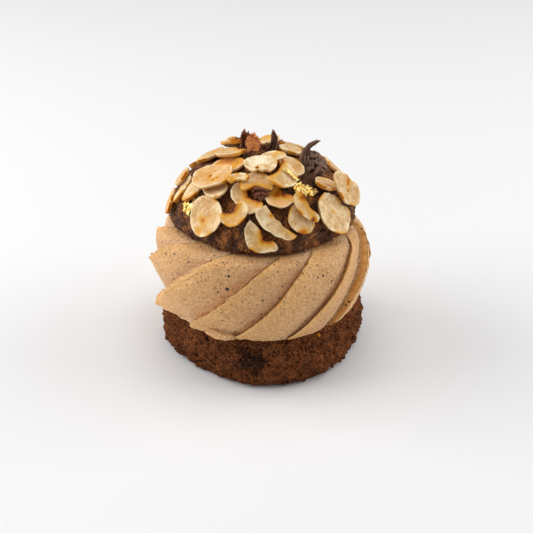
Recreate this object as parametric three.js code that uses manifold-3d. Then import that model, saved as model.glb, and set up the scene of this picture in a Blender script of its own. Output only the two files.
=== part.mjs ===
// A single-serving paris-brest: a chocolate choux base, a piped swirl of praline cream, and a
// choux lid strewn with sliced roasted hazelnuts, scraps of dried husk and flecks of gold leaf.
// Millimetres, +Z up. The origin is on the table, under the middle of the base, and -Y is the front.
// A bearing is an angle round the Z axis from the front, positive towards +X.
import * as THREE from "three";
import { mergeVertices } from "three/addons/utils/BufferGeometryUtils.js";
import Module from "manifold-3d";

const wasm = await Module();
wasm.setup();

// Driving dimensions
const GAP = 0.3; // kept between pieces that rest on each other

const BASE = {
  height: 18.3,
  footRadius: 29.6,
  lowRadius: 31.5,
  lowHeight: 2.52,
  widestRadius: 32.4,
  widestHeight: 9,
  shoulderRadius: 31.8,
  shoulderDrop: 2.8, // below the cut top
  topRadius: 30.6,
  edgeDrop: 0.7,
  flatTopRadius: 28.5,
  flattenings: [
    { depth: 1.5, sides: 2, bearing: 80 },
    { depth: 1.2, sides: 3, bearing: 8 },
  ],
  crag: 0.55, // depth of the crumb's relief
  columns: 64,
  sideRows: 12,
};

const CREAM = {
  footHeight: BASE.height + GAP,
  topHeight: 43.5, // in the middle, where the lid lies on it
  footRadius: 32.2,
  bellyRadius: 34.6,
  bellyHeight: 24,
  widestRadius: 35.8,
  widestHeight: 31,
  upperRadius: 35.2,
  upperHeight: 36,
  shoulderRadius: 33.2,
  shoulderDrop: 2.4, // below the top
  edgeRadius: 30.6,
  edgeDrop: 0.5,
  topRadius: 28.4,
  innerFootRadius: 27.8, // a flat ring inside the hanging flute tips
  undercut: 0.02, // how far a valley reaches in below the next crest, as a share of the flute's width
  tipDrop: 0.6, // how far each crest hangs down over the base's rim
  twistLevel: 14, // millimetres along the side at which the crest bearings below hold
  columnsPerFlute: 7,
  sideRows: 16,
};

// The cream's flutes, in order round it: the bearing of each one's crest, the degrees that the crest
// travels for each millimetre along the side, and the depth of the valley at the flute's far end.
const FLUTES = [
  { crest: -84, twist: 2.1, depth: 3 },
  { crest: -53, twist: 2.1, depth: 2.8 },
  { crest: -20, twist: 2.1, depth: 2.2 },
  { crest: 6, twist: 1.8, depth: 1.5 },
  { crest: 37, twist: 2.1, depth: 1.8 },
  { crest: 58, twist: 2, depth: 2.2 },
  { crest: 86, twist: 2, depth: 2.6 },
  { crest: 114, twist: 2, depth: 2.8 },
  { crest: 142, twist: 2, depth: 2.8 },
  { crest: 169, twist: 2, depth: 2.8 },
  { crest: 196, twist: 2, depth: 2.8 },
  { crest: 223, twist: 2, depth: 2.8 },
  { crest: 250, twist: 2, depth: 2.8 },
];

const LID = {
  radius: 29,
  rimHeight: 2, // from the underside to the widest line
  domeHeight: 20.8, // from the widest line to the crown
  undersideRadius: 26,
  tilt: 5.5, // degrees that the front is raised
  middle: [0.3, 1.2], // where the middle of its underside lies on the cream
  corners: 0.8, // how far its four blunt corners stand out
  lopsided: 0.35,
  crag: 0.5,
  columns: 64,
  domeRows: 10,
};

const SLICE_THICKNESS = 1.2;
const OUTLINE_POINTS = 24; // round a slice
const OUTLINE_PHASE = 1.7; // sets each outline's wobble apart from the one before
const HALF_SAG = 0.14; // how far a half's straight side is worn in, as a share of its width

// What is missing from the side of a slice where it was cut through the nut's hollow heart: half the
// angle of the gap, and its depth as a share of the way to the middle.
const GAPS = {
  oval: { halfAngle: 1, depth: 0 },
  notched: { halfAngle: 14, depth: 0.16 },
  kidney: { halfAngle: 24, depth: 0.5 },
  cashew: { halfAngle: 40, depth: 0.55 },
  hook: { halfAngle: 50, depth: 0.88 },
};

// Roasted hazelnut slices, lowest first. climb is the angle up the dome, from 0 at the lid's rim
// to 90 at its crown. turn is the way the slice's short side, or its gap, points: 0 is down the
// slope and 90 is to the right of that. stand is the angle by which that side is raised.
const SLICES = [
  { kind: "oval", long: 12.6, wide: 12.2, bearing: -39, climb: 21, turn: 84 },
  { kind: "hook", long: 11.5, wide: 9.4, bearing: -11, climb: 41, turn: 138 },
  { kind: "hook", long: 9.8, wide: 8.4, bearing: -18, climb: 28, turn: -141 },
  { kind: "hook", long: 12, wide: 10.4, bearing: 0, climb: 15, turn: 130 },
  { kind: "half", long: 13.5, wide: 5, bearing: 6, climb: 23, turn: 134, thick: 2.4 },
  { kind: "oval", long: 10, wide: 9, bearing: 22, climb: 22, turn: 120 },
  { kind: "notched", long: 12.6, wide: 12.8, bearing: 52, climb: 19, turn: 112 },
  { kind: "oval", long: 9, wide: 6.5, bearing: 55, climb: 37, turn: 148 },
  { kind: "half", long: 9.5, wide: 5.5, bearing: 14, climb: 39, turn: 148 },
  { kind: "oval", long: 9.5, wide: 8, bearing: -39, climb: 40, turn: 41 },
  { kind: "oval", long: 11.5, wide: 5.4, bearing: -62, climb: 37, turn: 88 },
  { kind: "oval", long: 9, wide: 3.6, bearing: -79, climb: 17, turn: 103 },
  { kind: "oval", long: 9.5, wide: 3.4, bearing: -73, climb: 31, turn: 103 },
  { kind: "hook", long: 10.5, wide: 9, bearing: -5, climb: 49, turn: 6 },
  { kind: "oval", long: 10, wide: 6.2, bearing: 45, climb: 64, turn: 98 },
  { kind: "oval", long: 8.5, wide: 6, bearing: 14, climb: 74, turn: 150 },
  { kind: "oval", long: 10.5, wide: 8, bearing: -52, climb: 62, turn: -142 },
  { kind: "oval", long: 7.5, wide: 3.8, bearing: -80, climb: 37, turn: 108 },
  { kind: "oval", long: 11.5, wide: 7, bearing: -104, climb: 57, turn: 113 },
  { kind: "oval", long: 12, wide: 8, bearing: 112, climb: 68, turn: -109 },
  { kind: "oval", long: 11, wide: 9, bearing: 102, climb: 36, turn: -118 },
  { kind: "oval", long: 11, wide: 8, bearing: -118, climb: 44, turn: 121 },
  { kind: "oval", long: 9.5, wide: 8, bearing: 122, climb: 50, turn: 50 },
  { kind: "cashew", long: 11.5, wide: 5.6, bearing: 28, climb: 29, turn: 113 },
  { kind: "notched", long: 11, wide: 9.5, bearing: 67, climb: 30, turn: 128, stand: 34 },
  { kind: "half", long: 12, wide: 8, bearing: 20, climb: 53, turn: -135 },
  { kind: "oval", long: 13, wide: 10.5, bearing: -47, climb: 47, turn: -133 },
  { kind: "cashew", long: 6.8, wide: 5, bearing: -20, climb: 49, turn: 22 },
  { kind: "kidney", long: 10.4, wide: 9.4, bearing: -2, climb: 62, turn: 5 },
  { kind: "oval", long: 10, wide: 7.5, bearing: -80, climb: 69, turn: 88 },
  { kind: "oval", long: 11, wide: 7.5, bearing: -134, climb: 65, turn: -49 },
  { kind: "oval", long: 9.5, wide: 7, bearing: 156, climb: 71, turn: 15, stand: 32 },
];

// The far side carries slices like those in front, laid by a rule where there is room.
const BACK_SLICES = {
  count: 13,
  tries: 40,
  standHigh: 1.9, // a slice that would lie higher than this is left off
  middleBearing: 186,
  spread: 128,
  lowClimb: 12,
  highClimb: 70,
  kinds: ["oval", "hook", "notched", "half"],
  shortest: 10,
  longest: 12,
  wide: 8.5,
  halfWide: 6.5,
  turnStep: 77,
};

// Scraps of dried husk. The first two stand on the lid before any slice is laid.
const HUSKS = [
  { kind: "cup", radius: 4.8, height: 7, bearing: -140, climb: 83, turn: -40 },
  { kind: "leaf", long: 11, wide: 8, bearing: 74, climb: 58, turn: 111 },
  { kind: "leaf", long: 5, wide: 4, bearing: -1, climb: 46, turn: 170 },
];
const HUSKS_LAID_FIRST = 2;
const HUSK_THICKNESS = 0.9;

// Crumpled gold leaf, pressed on to the lid
const GOLD_FLECKS = [
  { radius: 1.9, bearing: -54, climb: 22 },
  { radius: 1.6, bearing: 33, climb: 47 },
  { radius: 2.1, bearing: 40, climb: 43 },
];

// How far a piece may slide along the dome or lean to find its rest, and what each costs, counted
// as millimetres of lift.
const SLIDE = 1.3;
const SLIDE_COST = 0.3;
const LEANS = [0, 8, 16, 25];
const LEAN_COST = 0.02;
const LIFT_STEP = 0.1;
const HIGHEST_LIFT = 9;

const FINISHES = {
  base: { color: 0x4a2a1b, roughness: 0.9 },
  cream: { color: 0xc39a72, roughness: 0.6 },
  lid: { color: 0x40281b, roughness: 0.75 },
  slice: { color: 0xe8cc9c, roughness: 0.55 },
  husk: { color: 0x55301f, roughness: 0.55 },
};

const radians = THREE.MathUtils.degToRad;

// Geometry helpers

// Only positions, with shared vertices merged, so that the surface is closed.
function closed(geometry) {
  geometry.deleteAttribute("normal");
  geometry.deleteAttribute("uv");
  return mergeVertices(geometry, 1e-4);
}

function solidOf(geometry) {
  const vertProperties = new Float32Array(geometry.getAttribute("position").array);
  const triVerts = new Uint32Array(geometry.index.array);
  return new wasm.Manifold(new wasm.Mesh({ numProp: 3, vertProperties, triVerts }));
}

function geometryOf(solid) {
  const { vertProperties, triVerts } = solid.getMesh();
  const geometry = new THREE.BufferGeometry();
  geometry.setAttribute("position", new THREE.BufferAttribute(vertProperties, 3));
  geometry.setIndex(new THREE.BufferAttribute(triVerts, 1));
  return geometry;
}

function meshOf(name, geometry, finish) {
  geometry.computeVertexNormals();
  const mesh = new THREE.Mesh(geometry, new THREE.MeshStandardMaterial({ ...finish, metalness: 0 }));
  mesh.name = name;
  return mesh;
}

// Rows of [radius, height] on a smooth curve through the given points.
function smoothRows(points, rows) {
  const curve = new THREE.SplineCurve(points.map((point) => new THREE.Vector2(...point)));
  return curve.getSpacedPoints(rows).map(({ x, y }) => [x, y]);
}

// A solid turned about Z from a profile that starts and ends on the axis. place takes the column,
// the profile's radius and height and the row, and returns the point's bearing, radius and height.
function turned(profile, columns, place) {
  const points = profile.map((point) => new THREE.Vector2(...point));
  const geometry = new THREE.LatheGeometry(points, columns);
  const position = geometry.getAttribute("position");
  for (let index = 0; index < position.count; index++) {
    const column = Math.floor(index / points.length) % columns;
    const row = index % points.length;
    const { bearing, radius, height } = place(column, points[row].x, points[row].y, row);
    position.setXYZ(index, radius * Math.sin(bearing), -radius * Math.cos(bearing), height);
  }
  return closed(geometry);
}

// Uneven relief between -1 and 1 with lumps about as wide as the given size.
function relief(x, y, z, size) {
  const k = (2 * Math.PI) / size;
  const coarse = Math.sin(k * (x + 0.4 * z)) * Math.sin(k * (0.9 * y - 0.3 * x) + 1.3);
  const fine = Math.sin(k * (1.7 * z + 0.8 * y) + 2.1) * Math.sin(k * (1.5 * x - 1.2 * y) + 0.7);
  return 0.6 * coarse + 0.4 * fine;
}

// Chocolate choux base: a low bun with a flat cut top and flattened sides

function baseGeometry() {
  const { height } = BASE;
  const outline = [
    [BASE.footRadius, 0],
    [BASE.lowRadius, BASE.lowHeight],
    [BASE.widestRadius, BASE.widestHeight],
    [BASE.shoulderRadius, height - BASE.shoulderDrop],
    [BASE.topRadius, height - BASE.edgeDrop],
    [BASE.flatTopRadius, height],
  ];
  const place = (column, radius, level) => {
    const bearing = (2 * Math.PI * column) / BASE.columns;
    if (radius === 0) return { bearing, radius, height: level };
    const bulges = BASE.flattenings.map(
      (flat) => flat.depth * Math.cos(flat.sides * (bearing - radians(flat.bearing))),
    );
    const flattening = bulges.reduce((sum, bulge) => sum + bulge);
    const onSide = Math.sin((Math.PI * level) / height);
    const [x, y] = [radius * Math.sin(bearing), radius * Math.cos(bearing)];
    const crag = BASE.crag * onSide * (relief(x, y, level, 9) + 0.5 * relief(y, x, level, 5));
    const share = 1 - THREE.MathUtils.smoothstep(level / height, 0.5, 0.96);
    return { bearing, radius: radius + share * flattening + crag, height: level };
  };
  const profile = [[0, 0], ...smoothRows(outline, BASE.sideRows), [0, height]];
  return turned(profile, BASE.columns, place);
}

// Piped cream: a barrel of star-nozzle flutes that climb to the right. Each flute falls away
// gently from its crest and ends at a steep step up to the next crest.

// How far the lid's underside rises above its middle at a place on the cream's top.
function lidRise(y) {
  return -y * Math.tan(radians(LID.tilt));
}

function creamGeometry() {
  const { footHeight, topHeight, topRadius, columnsPerFlute, sideRows } = CREAM;
  const outline = [
    [CREAM.footRadius, footHeight],
    [CREAM.bellyRadius, CREAM.bellyHeight],
    [CREAM.widestRadius, CREAM.widestHeight],
    [CREAM.upperRadius, CREAM.upperHeight],
    [CREAM.shoulderRadius, topHeight - CREAM.shoulderDrop],
    [CREAM.edgeRadius, topHeight - CREAM.edgeDrop],
    [topRadius, topHeight],
  ];
  const side = smoothRows(outline, sideRows);
  const rowLength = Math.hypot(side[1][0] - side[0][0], side[1][1] - side[0][1]);
  const place = (column, radius, level, row) => {
    const index = Math.floor(column / columnsPerFlute);
    const flute = FLUTES[index];
    const next = FLUTES[index + 1] ?? { ...FLUTES[0], crest: FLUTES[0].crest + 360 };
    const along = (column % columnsPerFlute) / (columnsPerFlute - 1);
    const sideRow = THREE.MathUtils.clamp(row - 2, 0, sideRows);
    const reach = sideRow * rowLength - CREAM.twistLevel;
    const [start, end] = [flute, next].map(({ crest, twist }) => crest + twist * reach);
    const bearing = radians(THREE.MathUtils.lerp(start, end, along * (1 + CREAM.undercut)));
    const lift = sideRow / sideRows;
    const isSide = radius >= topRadius;
    const depth = isSide ? flute.depth * (0.4 + 0.6 * Math.sin(Math.PI * lift) ** 0.7) : 0;
    const fallen = radius - depth * along ** 1.2;
    const tip = isSide ? CREAM.tipDrop * (1 - along) ** 2 * Math.max(0, 1 - 6 * lift) : 0;
    const y = -fallen * Math.cos(bearing);
    const climb = (level - footHeight) / (topHeight - footHeight);
    const tilted = THREE.MathUtils.smoothstep(climb, 0.35, 1) * lidRise(y);
    return { bearing, radius: fallen, height: level - tip + tilted };
  };
  const profile = [[0, footHeight], [CREAM.innerFootRadius, footHeight], ...side, [0, topHeight]];
  return turned(profile, FLUTES.length * columnsPerFlute, place);
}

// Choux lid, in its own frame: the underside's middle is the origin and the crown is on +Z

// The dome's radius at a bearing: a round with four blunt corners.
function lidRadius(bearing) {
  return LID.radius + LID.corners * Math.cos(4 * bearing) + LID.lopsided * Math.sin(3 * bearing + 0.6);
}

function lidGeometry() {
  const { rimHeight, domeHeight, undersideRadius, radius: widest } = LID;
  const dome = [];
  for (let row = 0; row <= LID.domeRows; row++) {
    const climb = (Math.PI / 2) * (row / LID.domeRows);
    dome.push([widest * Math.cos(climb), rimHeight + domeHeight * Math.sin(climb)]);
  }
  dome[LID.domeRows][0] = 0;
  const under = [[0, 0], [undersideRadius, 0], [widest - 1.3, 0.5], [widest - 0.3, 1.4]];
  const place = (column, radius, height) => {
    const bearing = (2 * Math.PI * column) / LID.columns;
    if (height === 0) return { bearing, radius, height };
    const outward = radius * (lidRadius(bearing) / widest);
    const [x, y] = [outward * Math.sin(bearing), outward * Math.cos(bearing)];
    const crag = LID.crag * (relief(x, y, height, 8) + 0.4 * relief(y, x, height, 5));
    const slope = radius / widest;
    return { bearing, radius: outward + slope * crag, height: height + (1 - slope) * crag };
  };
  const bare = solidOf(turned([...under, ...dome], LID.columns, place));
  return GOLD_FLECKS.reduce((lid, fleck) => lid.add(solidOf(fleckGeometry(fleck))), bare);
}

// The place on the dome at a bearing and a climb, as a matrix whose Z axis leaves the surface and
// whose Y axis is turned from the way down the slope.
function onDome({ bearing, climb, turn = 0 }) {
  const b = radians(bearing);
  const t = radians(climb);
  const radius = lidRadius(b);
  const out = new THREE.Vector3(Math.sin(b), -Math.cos(b), 0);
  const place = out.clone().multiplyScalar(radius * Math.cos(t));
  place.z = LID.rimHeight + LID.domeHeight * Math.sin(t);
  const normal = out.clone().multiplyScalar(Math.cos(t) / radius);
  normal.z = Math.sin(t) / LID.domeHeight;
  normal.normalize();
  const down = out.addScaledVector(normal, -out.dot(normal)).normalize();
  const across = new THREE.Vector3().crossVectors(down, normal);
  return new THREE.Matrix4()
    .makeBasis(across, down, normal)
    .setPosition(place)
    .multiply(new THREE.Matrix4().makeRotationZ(radians(turn)));
}

// A pinched scrap of foil, half sunk in the dome.
function fleckGeometry(fleck) {
  const geometry = new THREE.IcosahedronGeometry(fleck.radius, 0);
  geometry.scale(1, 0.75, 0.45).applyMatrix4(onDome(fleck));
  return closed(geometry);
}

// Hazelnut slices: flat plates cut across a nut, lying in their own XY plane

// An uneven oval with a gap towards +Y.
function ovalOutline({ kind, long, wide, phase }) {
  const { halfAngle, depth } = GAPS[kind];
  const points = [];
  for (let index = 0; index < OUTLINE_POINTS; index++) {
    const angle = (2 * Math.PI * index) / OUTLINE_POINTS;
    const wobble = 1 + 0.05 * Math.sin(2 * angle + phase) + 0.04 * Math.sin(3 * angle + 2.3 * phase);
    const fromGap = THREE.MathUtils.euclideanModulo(angle + Math.PI / 2, 2 * Math.PI) - Math.PI;
    const reach = wobble * (1 - depth * Math.exp(-((fromGap / radians(halfAngle)) ** 6)));
    const [x, y] = [(long / 2) * reach * Math.cos(angle), (wide / 2) * reach * Math.sin(angle)];
    points.push(new THREE.Vector2(x, y));
  }
  return points;
}

// A half moon, round towards -Y.
function halfOutline({ long, wide }) {
  const [roundSteps, straightSteps] = [11, 6];
  const points = [];
  for (let step = 0; step <= roundSteps; step++) {
    const angle = Math.PI * (1 + step / roundSteps);
    points.push(new THREE.Vector2((long / 2) * Math.cos(angle), wide * (0.5 + Math.sin(angle))));
  }
  for (let step = 1; step < straightSteps; step++) {
    const share = step / straightSteps;
    points.push(new THREE.Vector2(long * (0.5 - share), wide * (0.5 - HALF_SAG * Math.sin(Math.PI * share))));
  }
  return points;
}

// margin widens the plate on every side.
function sliceGeometry({ kind, long, wide, thick = SLICE_THICKNESS }, phase, margin) {
  const plan = { kind, phase, long: long + 2 * margin, wide: wide + 2 * margin };
  const shape = new THREE.Shape(kind === "half" ? halfOutline(plan) : ovalOutline(plan));
  const plate = new THREE.ExtrudeGeometry(shape, { depth: thick + 2 * margin, bevelEnabled: false });
  return closed(plate.translate(0, 0, -margin));
}

// The spots tried in turn on the far side, spread evenly by two irrational strides.
function backSlices() {
  const { kinds, middleBearing, spread, lowClimb, highClimb, shortest, longest } = BACK_SLICES;
  const plastic = 1.32471796;
  return Array.from({ length: BACK_SLICES.tries }, (_, index) => {
    const kind = kinds[index % kinds.length];
    const [across, up] = [(0.5 + index / plastic) % 1, (0.5 + index / plastic ** 2) % 1];
    return {
      kind,
      long: shortest + (longest - shortest) * across,
      wide: kind === "half" ? BACK_SLICES.halfWide : BACK_SLICES.wide,
      bearing: middleBearing + spread * (across - 0.5),
      climb: lowClimb + (highClimb - lowClimb) * up,
      turn: BACK_SLICES.turnStep * index,
    };
  });
}

// Husk scraps

// A torn, pinched cup of dried husk, open towards +Z. Its rim rises in a prong on either side.
function cupGeometry({ radius, height }) {
  const inner = radius - HUSK_THICKNESS;
  const wall = [
    [0, 0],
    [radius * 0.5, 0.06 * height],
    [radius * 0.85, 0.4 * height],
    [radius, height],
    [inner, height],
    [inner * 0.85, 0.45 * height],
    [inner * 0.5, 0.2 * height],
    [0, 0.14 * height],
  ];
  const columns = 18;
  const place = (column, across, level) => {
    const bearing = (2 * Math.PI * column) / columns;
    if (across === 0) return { bearing, radius: 0, height: level };
    const prong = 0.42 + 0.5 * Math.sin(bearing) ** 2 + 0.13 * Math.sin(5 * bearing + 1);
    const pinch = 1 - 0.45 * Math.cos(bearing) ** 2;
    const torn = 1 - (1 - prong) * (level / height);
    return { bearing, radius: across * pinch, height: level * torn };
  };
  return turned(wall, columns, place);
}

// A crinkled leaf in the XY plane, both faces split alike.
function leafGeometry({ long, wide }) {
  const [stepsLong, stepsWide] = [8, 6];
  const leaf = new THREE.BoxGeometry(long, wide, HUSK_THICKNESS, stepsLong, stepsWide, 1);
  const position = leaf.getAttribute("position");
  for (let index = 0; index < position.count; index++) {
    const [x, y, z] = [position.getX(index), position.getY(index), position.getZ(index)];
    const along = (2 * x) / long;
    const narrow = 1 - 0.45 * along ** 2 + 0.12 * Math.sin(5 * along);
    const across = (2 * y) / wide;
    const crinkle = wide * (0.09 * Math.sin(2.1 * across + 2 * along) + 0.05 * Math.cos(6 * along));
    position.setXYZ(index, x * (1 - 0.1 * across ** 2), y * narrow, z + crinkle + 0.2 * wide);
  }
  return closed(leaf);
}

const HUSK_SHAPES = { cup: cupGeometry, leaf: leafGeometry };

// Laying things on the lid

// The ways a piece may lie near its spot: slid a little along the dome, and leaning.
const LIES = [];
for (const lean of LEANS) {
  for (const way of lean ? [0, 45, 90, 135, 180, 225, 270, 315] : [0]) {
    for (const [x, y] of [[0, 0], [SLIDE, 0], [-SLIDE, 0], [0, SLIDE], [0, -SLIDE]]) {
      LIES.push({ lean, way, x, y, cost: LEAN_COST * lean + SLIDE_COST * Math.hypot(x, y) });
    }
  }
}

function lieMatrix(spot, { lean, way, x, y }, lift) {
  const hinge = new THREE.Vector3(Math.cos(radians(way)), Math.sin(radians(way)), 0);
  return onDome(spot)
    .multiply(new THREE.Matrix4().makeTranslation(x, y, lift + GAP))
    .multiply(new THREE.Matrix4().makeRotationAxis(hinge, radians(lean)))
    .multiply(new THREE.Matrix4().makeRotationX(radians(spot.stand ?? 0)));
}

function isClear(geometry, matrix) {
  const placed = geometry.clone().applyMatrix4(matrix);
  placed.computeBoundingBox();
  const near = laid.filter(({ box }) => box.intersectsBox(placed.boundingBox));
  if (!near.length) return true;
  const solid = solidOf(placed);
  return near.every((other) => solid.intersect(other.solid).isEmpty());
}

// The lowest lie at which a piece clears everything laid before it.
function restingLie(testGeometry, spot) {
  let best = { cost: HIGHEST_LIFT };
  for (const lie of LIES) {
    const clearAt = (lift) => isClear(testGeometry, lieMatrix(spot, lie, lift));
    let high = best.cost - lie.cost - LIFT_STEP;
    if (high < 0 || !clearAt(high)) continue;
    let low = 0;
    if (clearAt(0)) high = 0;
    while (high - low > LIFT_STEP) {
      const middle = (low + high) / 2;
      if (clearAt(middle)) high = middle;
      else low = middle;
    }
    best = { cost: lie.cost + high, matrix: lieMatrix(spot, lie, high) };
  }
  return best;
}

// What later pieces have to clear, in the lid's frame.
const laid = [];

function remember(geometry) {
  geometry.computeBoundingBox();
  laid.push({ solid: solidOf(geometry), box: geometry.boundingBox });
}

// Lays a piece on the lid, unless it would stand too high, and adds it to what later pieces have
// to clear. Tells whether it was laid.
function lay(name, spot, makeGeometry, finish, costLimit = HIGHEST_LIFT) {
  const { cost, matrix } = restingLie(makeGeometry(GAP), spot);
  if (cost >= costLimit) return false;
  const mesh = meshOf(name, makeGeometry(0), finish);
  mesh.applyMatrix4(matrix);
  lidGroup.add(mesh);
  remember(mesh.geometry.clone().applyMatrix4(matrix));
  return true;
}

// Assembly

const parisBrest = new THREE.Group();
parisBrest.add(meshOf("choux_base", baseGeometry(), FINISHES.base));
const cream = creamGeometry();
parisBrest.add(meshOf("praline_cream", cream, FINISHES.cream));

const lidGroup = new THREE.Group();
const [lidX, lidY] = LID.middle;
lidGroup.position.set(lidX, lidY, CREAM.topHeight + GAP + lidRise(lidY));
lidGroup.rotation.x = -radians(LID.tilt);
lidGroup.updateMatrix();
parisBrest.add(lidGroup);

const lid = lidGeometry();
lidGroup.add(meshOf("choux_lid", geometryOf(lid), FINISHES.lid));
remember(geometryOf(lid));
remember(cream.clone().applyMatrix4(lidGroup.matrix.clone().invert()));

function layHusk(husk, index) {
  const makeGeometry = () => HUSK_SHAPES[husk.kind](husk);
  lay(`husk_${index + 1}`, husk, makeGeometry, FINISHES.husk);
}

let sliceCount = 0;
function laySlice(slice, costLimit) {
  const name = `hazelnut_slice_${String(sliceCount + 1).padStart(2, "0")}`;
  const makeGeometry = (margin) => sliceGeometry(slice, OUTLINE_PHASE * sliceCount, margin);
  if (lay(name, slice, makeGeometry, FINISHES.slice, costLimit)) sliceCount += 1;
}

HUSKS.forEach((husk, index) => index < HUSKS_LAID_FIRST && layHusk(husk, index));
SLICES.forEach((slice) => laySlice(slice));
const fullCount = SLICES.length + BACK_SLICES.count;
backSlices().forEach((slice) => sliceCount < fullCount && laySlice(slice, BACK_SLICES.standHigh));
HUSKS.forEach((husk, index) => index >= HUSKS_LAID_FIRST && layHusk(husk, index));

export default parisBrest;
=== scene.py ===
import math
import random

import bmesh
import bpy
import numpy as np
from mathutils import Matrix, Vector, geometry, noise


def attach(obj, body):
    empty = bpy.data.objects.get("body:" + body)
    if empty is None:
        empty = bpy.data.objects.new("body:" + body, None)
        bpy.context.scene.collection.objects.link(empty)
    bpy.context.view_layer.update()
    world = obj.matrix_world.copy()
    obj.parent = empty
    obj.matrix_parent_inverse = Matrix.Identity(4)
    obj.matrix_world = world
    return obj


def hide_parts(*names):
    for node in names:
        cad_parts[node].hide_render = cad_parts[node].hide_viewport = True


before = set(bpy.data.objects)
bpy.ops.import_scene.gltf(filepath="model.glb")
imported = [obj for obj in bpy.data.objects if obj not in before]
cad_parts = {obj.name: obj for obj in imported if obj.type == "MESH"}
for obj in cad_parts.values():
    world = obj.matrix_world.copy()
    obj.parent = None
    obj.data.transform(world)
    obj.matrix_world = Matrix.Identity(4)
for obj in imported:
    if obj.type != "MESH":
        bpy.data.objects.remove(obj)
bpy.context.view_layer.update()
mm = 0.001  # sizes below are millimetres unless a note says otherwise
touching = 1e-4  # vertices closer than this are merged
noise.seed_set(7)  # noise vectors would otherwise follow the clock
print("frame loaded:", len(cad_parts), "nodes")

# numbers and noise

def linear(red, green, blue):
    # a screen colour, 0 to 255, as a shader colour
    parts = [c / 255 for c in (red, green, blue)]
    return tuple(c / 12.92 if c <= 0.04045 else ((c + 0.055) / 1.055) ** 2.4 for c in parts) + (1,)


def smoothStep(value, low, high):
    share = min(max((value - low) / (high - low), 0), 1)
    return share * share * (3 - 2 * share)


def fade(distance, reach):
    return math.exp(-distance / reach)


def bell(distance, reach):
    return math.exp(-(distance / reach) ** 2)


def apart(bearing, other):
    # degrees between two bearings, from -180 to 180
    return (bearing - other + 180) % 360 - 180


def rough(x, y, z):
    return noise.noise(Vector((x, y, z)))


def lumps(place, layers):
    # noise in layers, each given by its height and size
    return sum(height * noise.noise(place / size) for height, size in layers)


def relief(x, y, z, size):
    # crossed waves at odd slants, as the solids have them
    k = 2 * math.pi / size
    coarse = math.sin(k * (x + 0.4 * z)) * math.sin(k * (0.9 * y - 0.3 * x) + 1.3)
    fine = math.sin(k * (1.7 * z + 0.8 * y) + 2.1) * math.sin(k * (1.5 * x - 1.2 * y) + 0.7)
    return 0.6 * coarse + 0.4 * fine


def crags(x, y, z, settings):
    fine = settings["fineShare"] * relief(y, x, z, settings["fineSize"])
    return settings["depth"] * (relief(x, y, z, settings["size"]) + fine)


def waves(bearing, settings):
    # how far an outline stands out, each wave given by its depth, its number of sides and a bearing
    return sum(depth * math.cos(sides * (bearing - math.radians(first))) for depth, sides, first in settings)


def pores(place, size, share):
    # depth from 0 to 1 of round pits about this far apart, in this share of the cells
    distances, points = noise.voronoi(place / size)
    if noise.cell(points[0] * 7.3) > 2 * share - 1:  # each cell's own chance, from -1 to 1
        return 0
    return 1 - smoothStep(distances[0], 0.08, 0.3)


# shader arithmetic

class Wire:
    # an output socket of a material's nodes, which takes plain arithmetic
    def __init__(self, tree, socket=None):
        self.tree = tree
        self.socket = socket

    def node(self, kind, settings, sockets, out=0):
        made = self.tree.nodes.new("ShaderNode" + kind)
        for name, value in settings.items():
            setattr(made, name, value)
        for name, value in sockets.items():
            if isinstance(value, Wire):
                self.tree.links.new(value.socket, made.inputs[name])
            else:
                made.inputs[name].default_value = value
        return Wire(self.tree, made.outputs[out])

    def maths(self, operation, *values):
        return self.node("Math", {"operation": operation}, dict(enumerate(values)))

    def vectors(self, operation, sockets, out=0):
        return self.node("VectorMath", {"operation": operation}, sockets, out)

    def __add__(self, other):
        return self.maths("ADD", self, other)

    __radd__ = __add__

    def __sub__(self, other):
        return self.maths("SUBTRACT", self, other)

    def __rsub__(self, other):
        return self.maths("SUBTRACT", other, self)

    def __mul__(self, other):
        return self.maths("MULTIPLY", self, other)

    __rmul__ = __mul__

    def ramp(self, low, high):
        # 0 below low, 1 above high, and the other way round where low is the larger
        limits = {"Value": self, "From Min": low, "From Max": high}
        return self.node("MapRange", {"interpolation_type": "SMOOTHSTEP"}, limits)

    def mix(self, first, second):
        # from the first colour to the second as this value goes from 0 to 1
        return self.node("Mix", {"data_type": "RGBA"}, {0: self, 6: first, 7: second}, 2)

    def place(self):
        return self.node("TexCoord", {}, {}, "Object")

    def attribute(self, name):
        return self.node("Attribute", {"attribute_name": name}, {}, "Fac")

    def cloud(self, size, detail=3, grain=0.55, out=0):
        # soft noise with lumps of this size
        sockets = {"Vector": self.place(), "Scale": 1 / (size * mm), "Detail": detail, "Roughness": grain}
        return self.node("TexNoise", {}, sockets, out)

    def shaken(self, size, amount):
        # places shifted by noise of this size, so that round marks turn ragged
        noisy = self.vectors("SUBTRACT", {0: self.cloud(size, 2, 0.6, "Color"), 1: (0.5, 0.5, 0.5)})
        shift = self.vectors("SCALE", {0: noisy, "Scale": amount * mm})
        return self.vectors("ADD", {0: self.place(), 1: shift})

    def cells(self, place, size, out):
        return self.node("TexVoronoi", {}, {"Vector": place, "Scale": 1 / (size * mm)}, out)

    def near(self, place, spot, reach):
        # 1 at a spot, falling to 0 at its reach
        return self.vectors("DISTANCE", {0: place, 1: spot}, "Value").ramp(reach, reach * 0.6)

    def bump(self, height, depth, strength):
        return self.node("Bump", {}, {"Height": height, "Distance": depth * mm, "Strength": strength})


def startFinish(name, constants):
    material = bpy.data.materials.new(name)
    material.use_nodes = True
    shader = material.node_tree.nodes["Principled BSDF"]
    for socket, value in constants.items():
        shader.inputs[socket].default_value = value
    return material, Wire(material.node_tree), shader


def plug(shader, sockets):
    for name, wire in sockets.items():
        wire.tree.links.new(wire.socket, shader.inputs[name])


# mesh helpers

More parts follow.
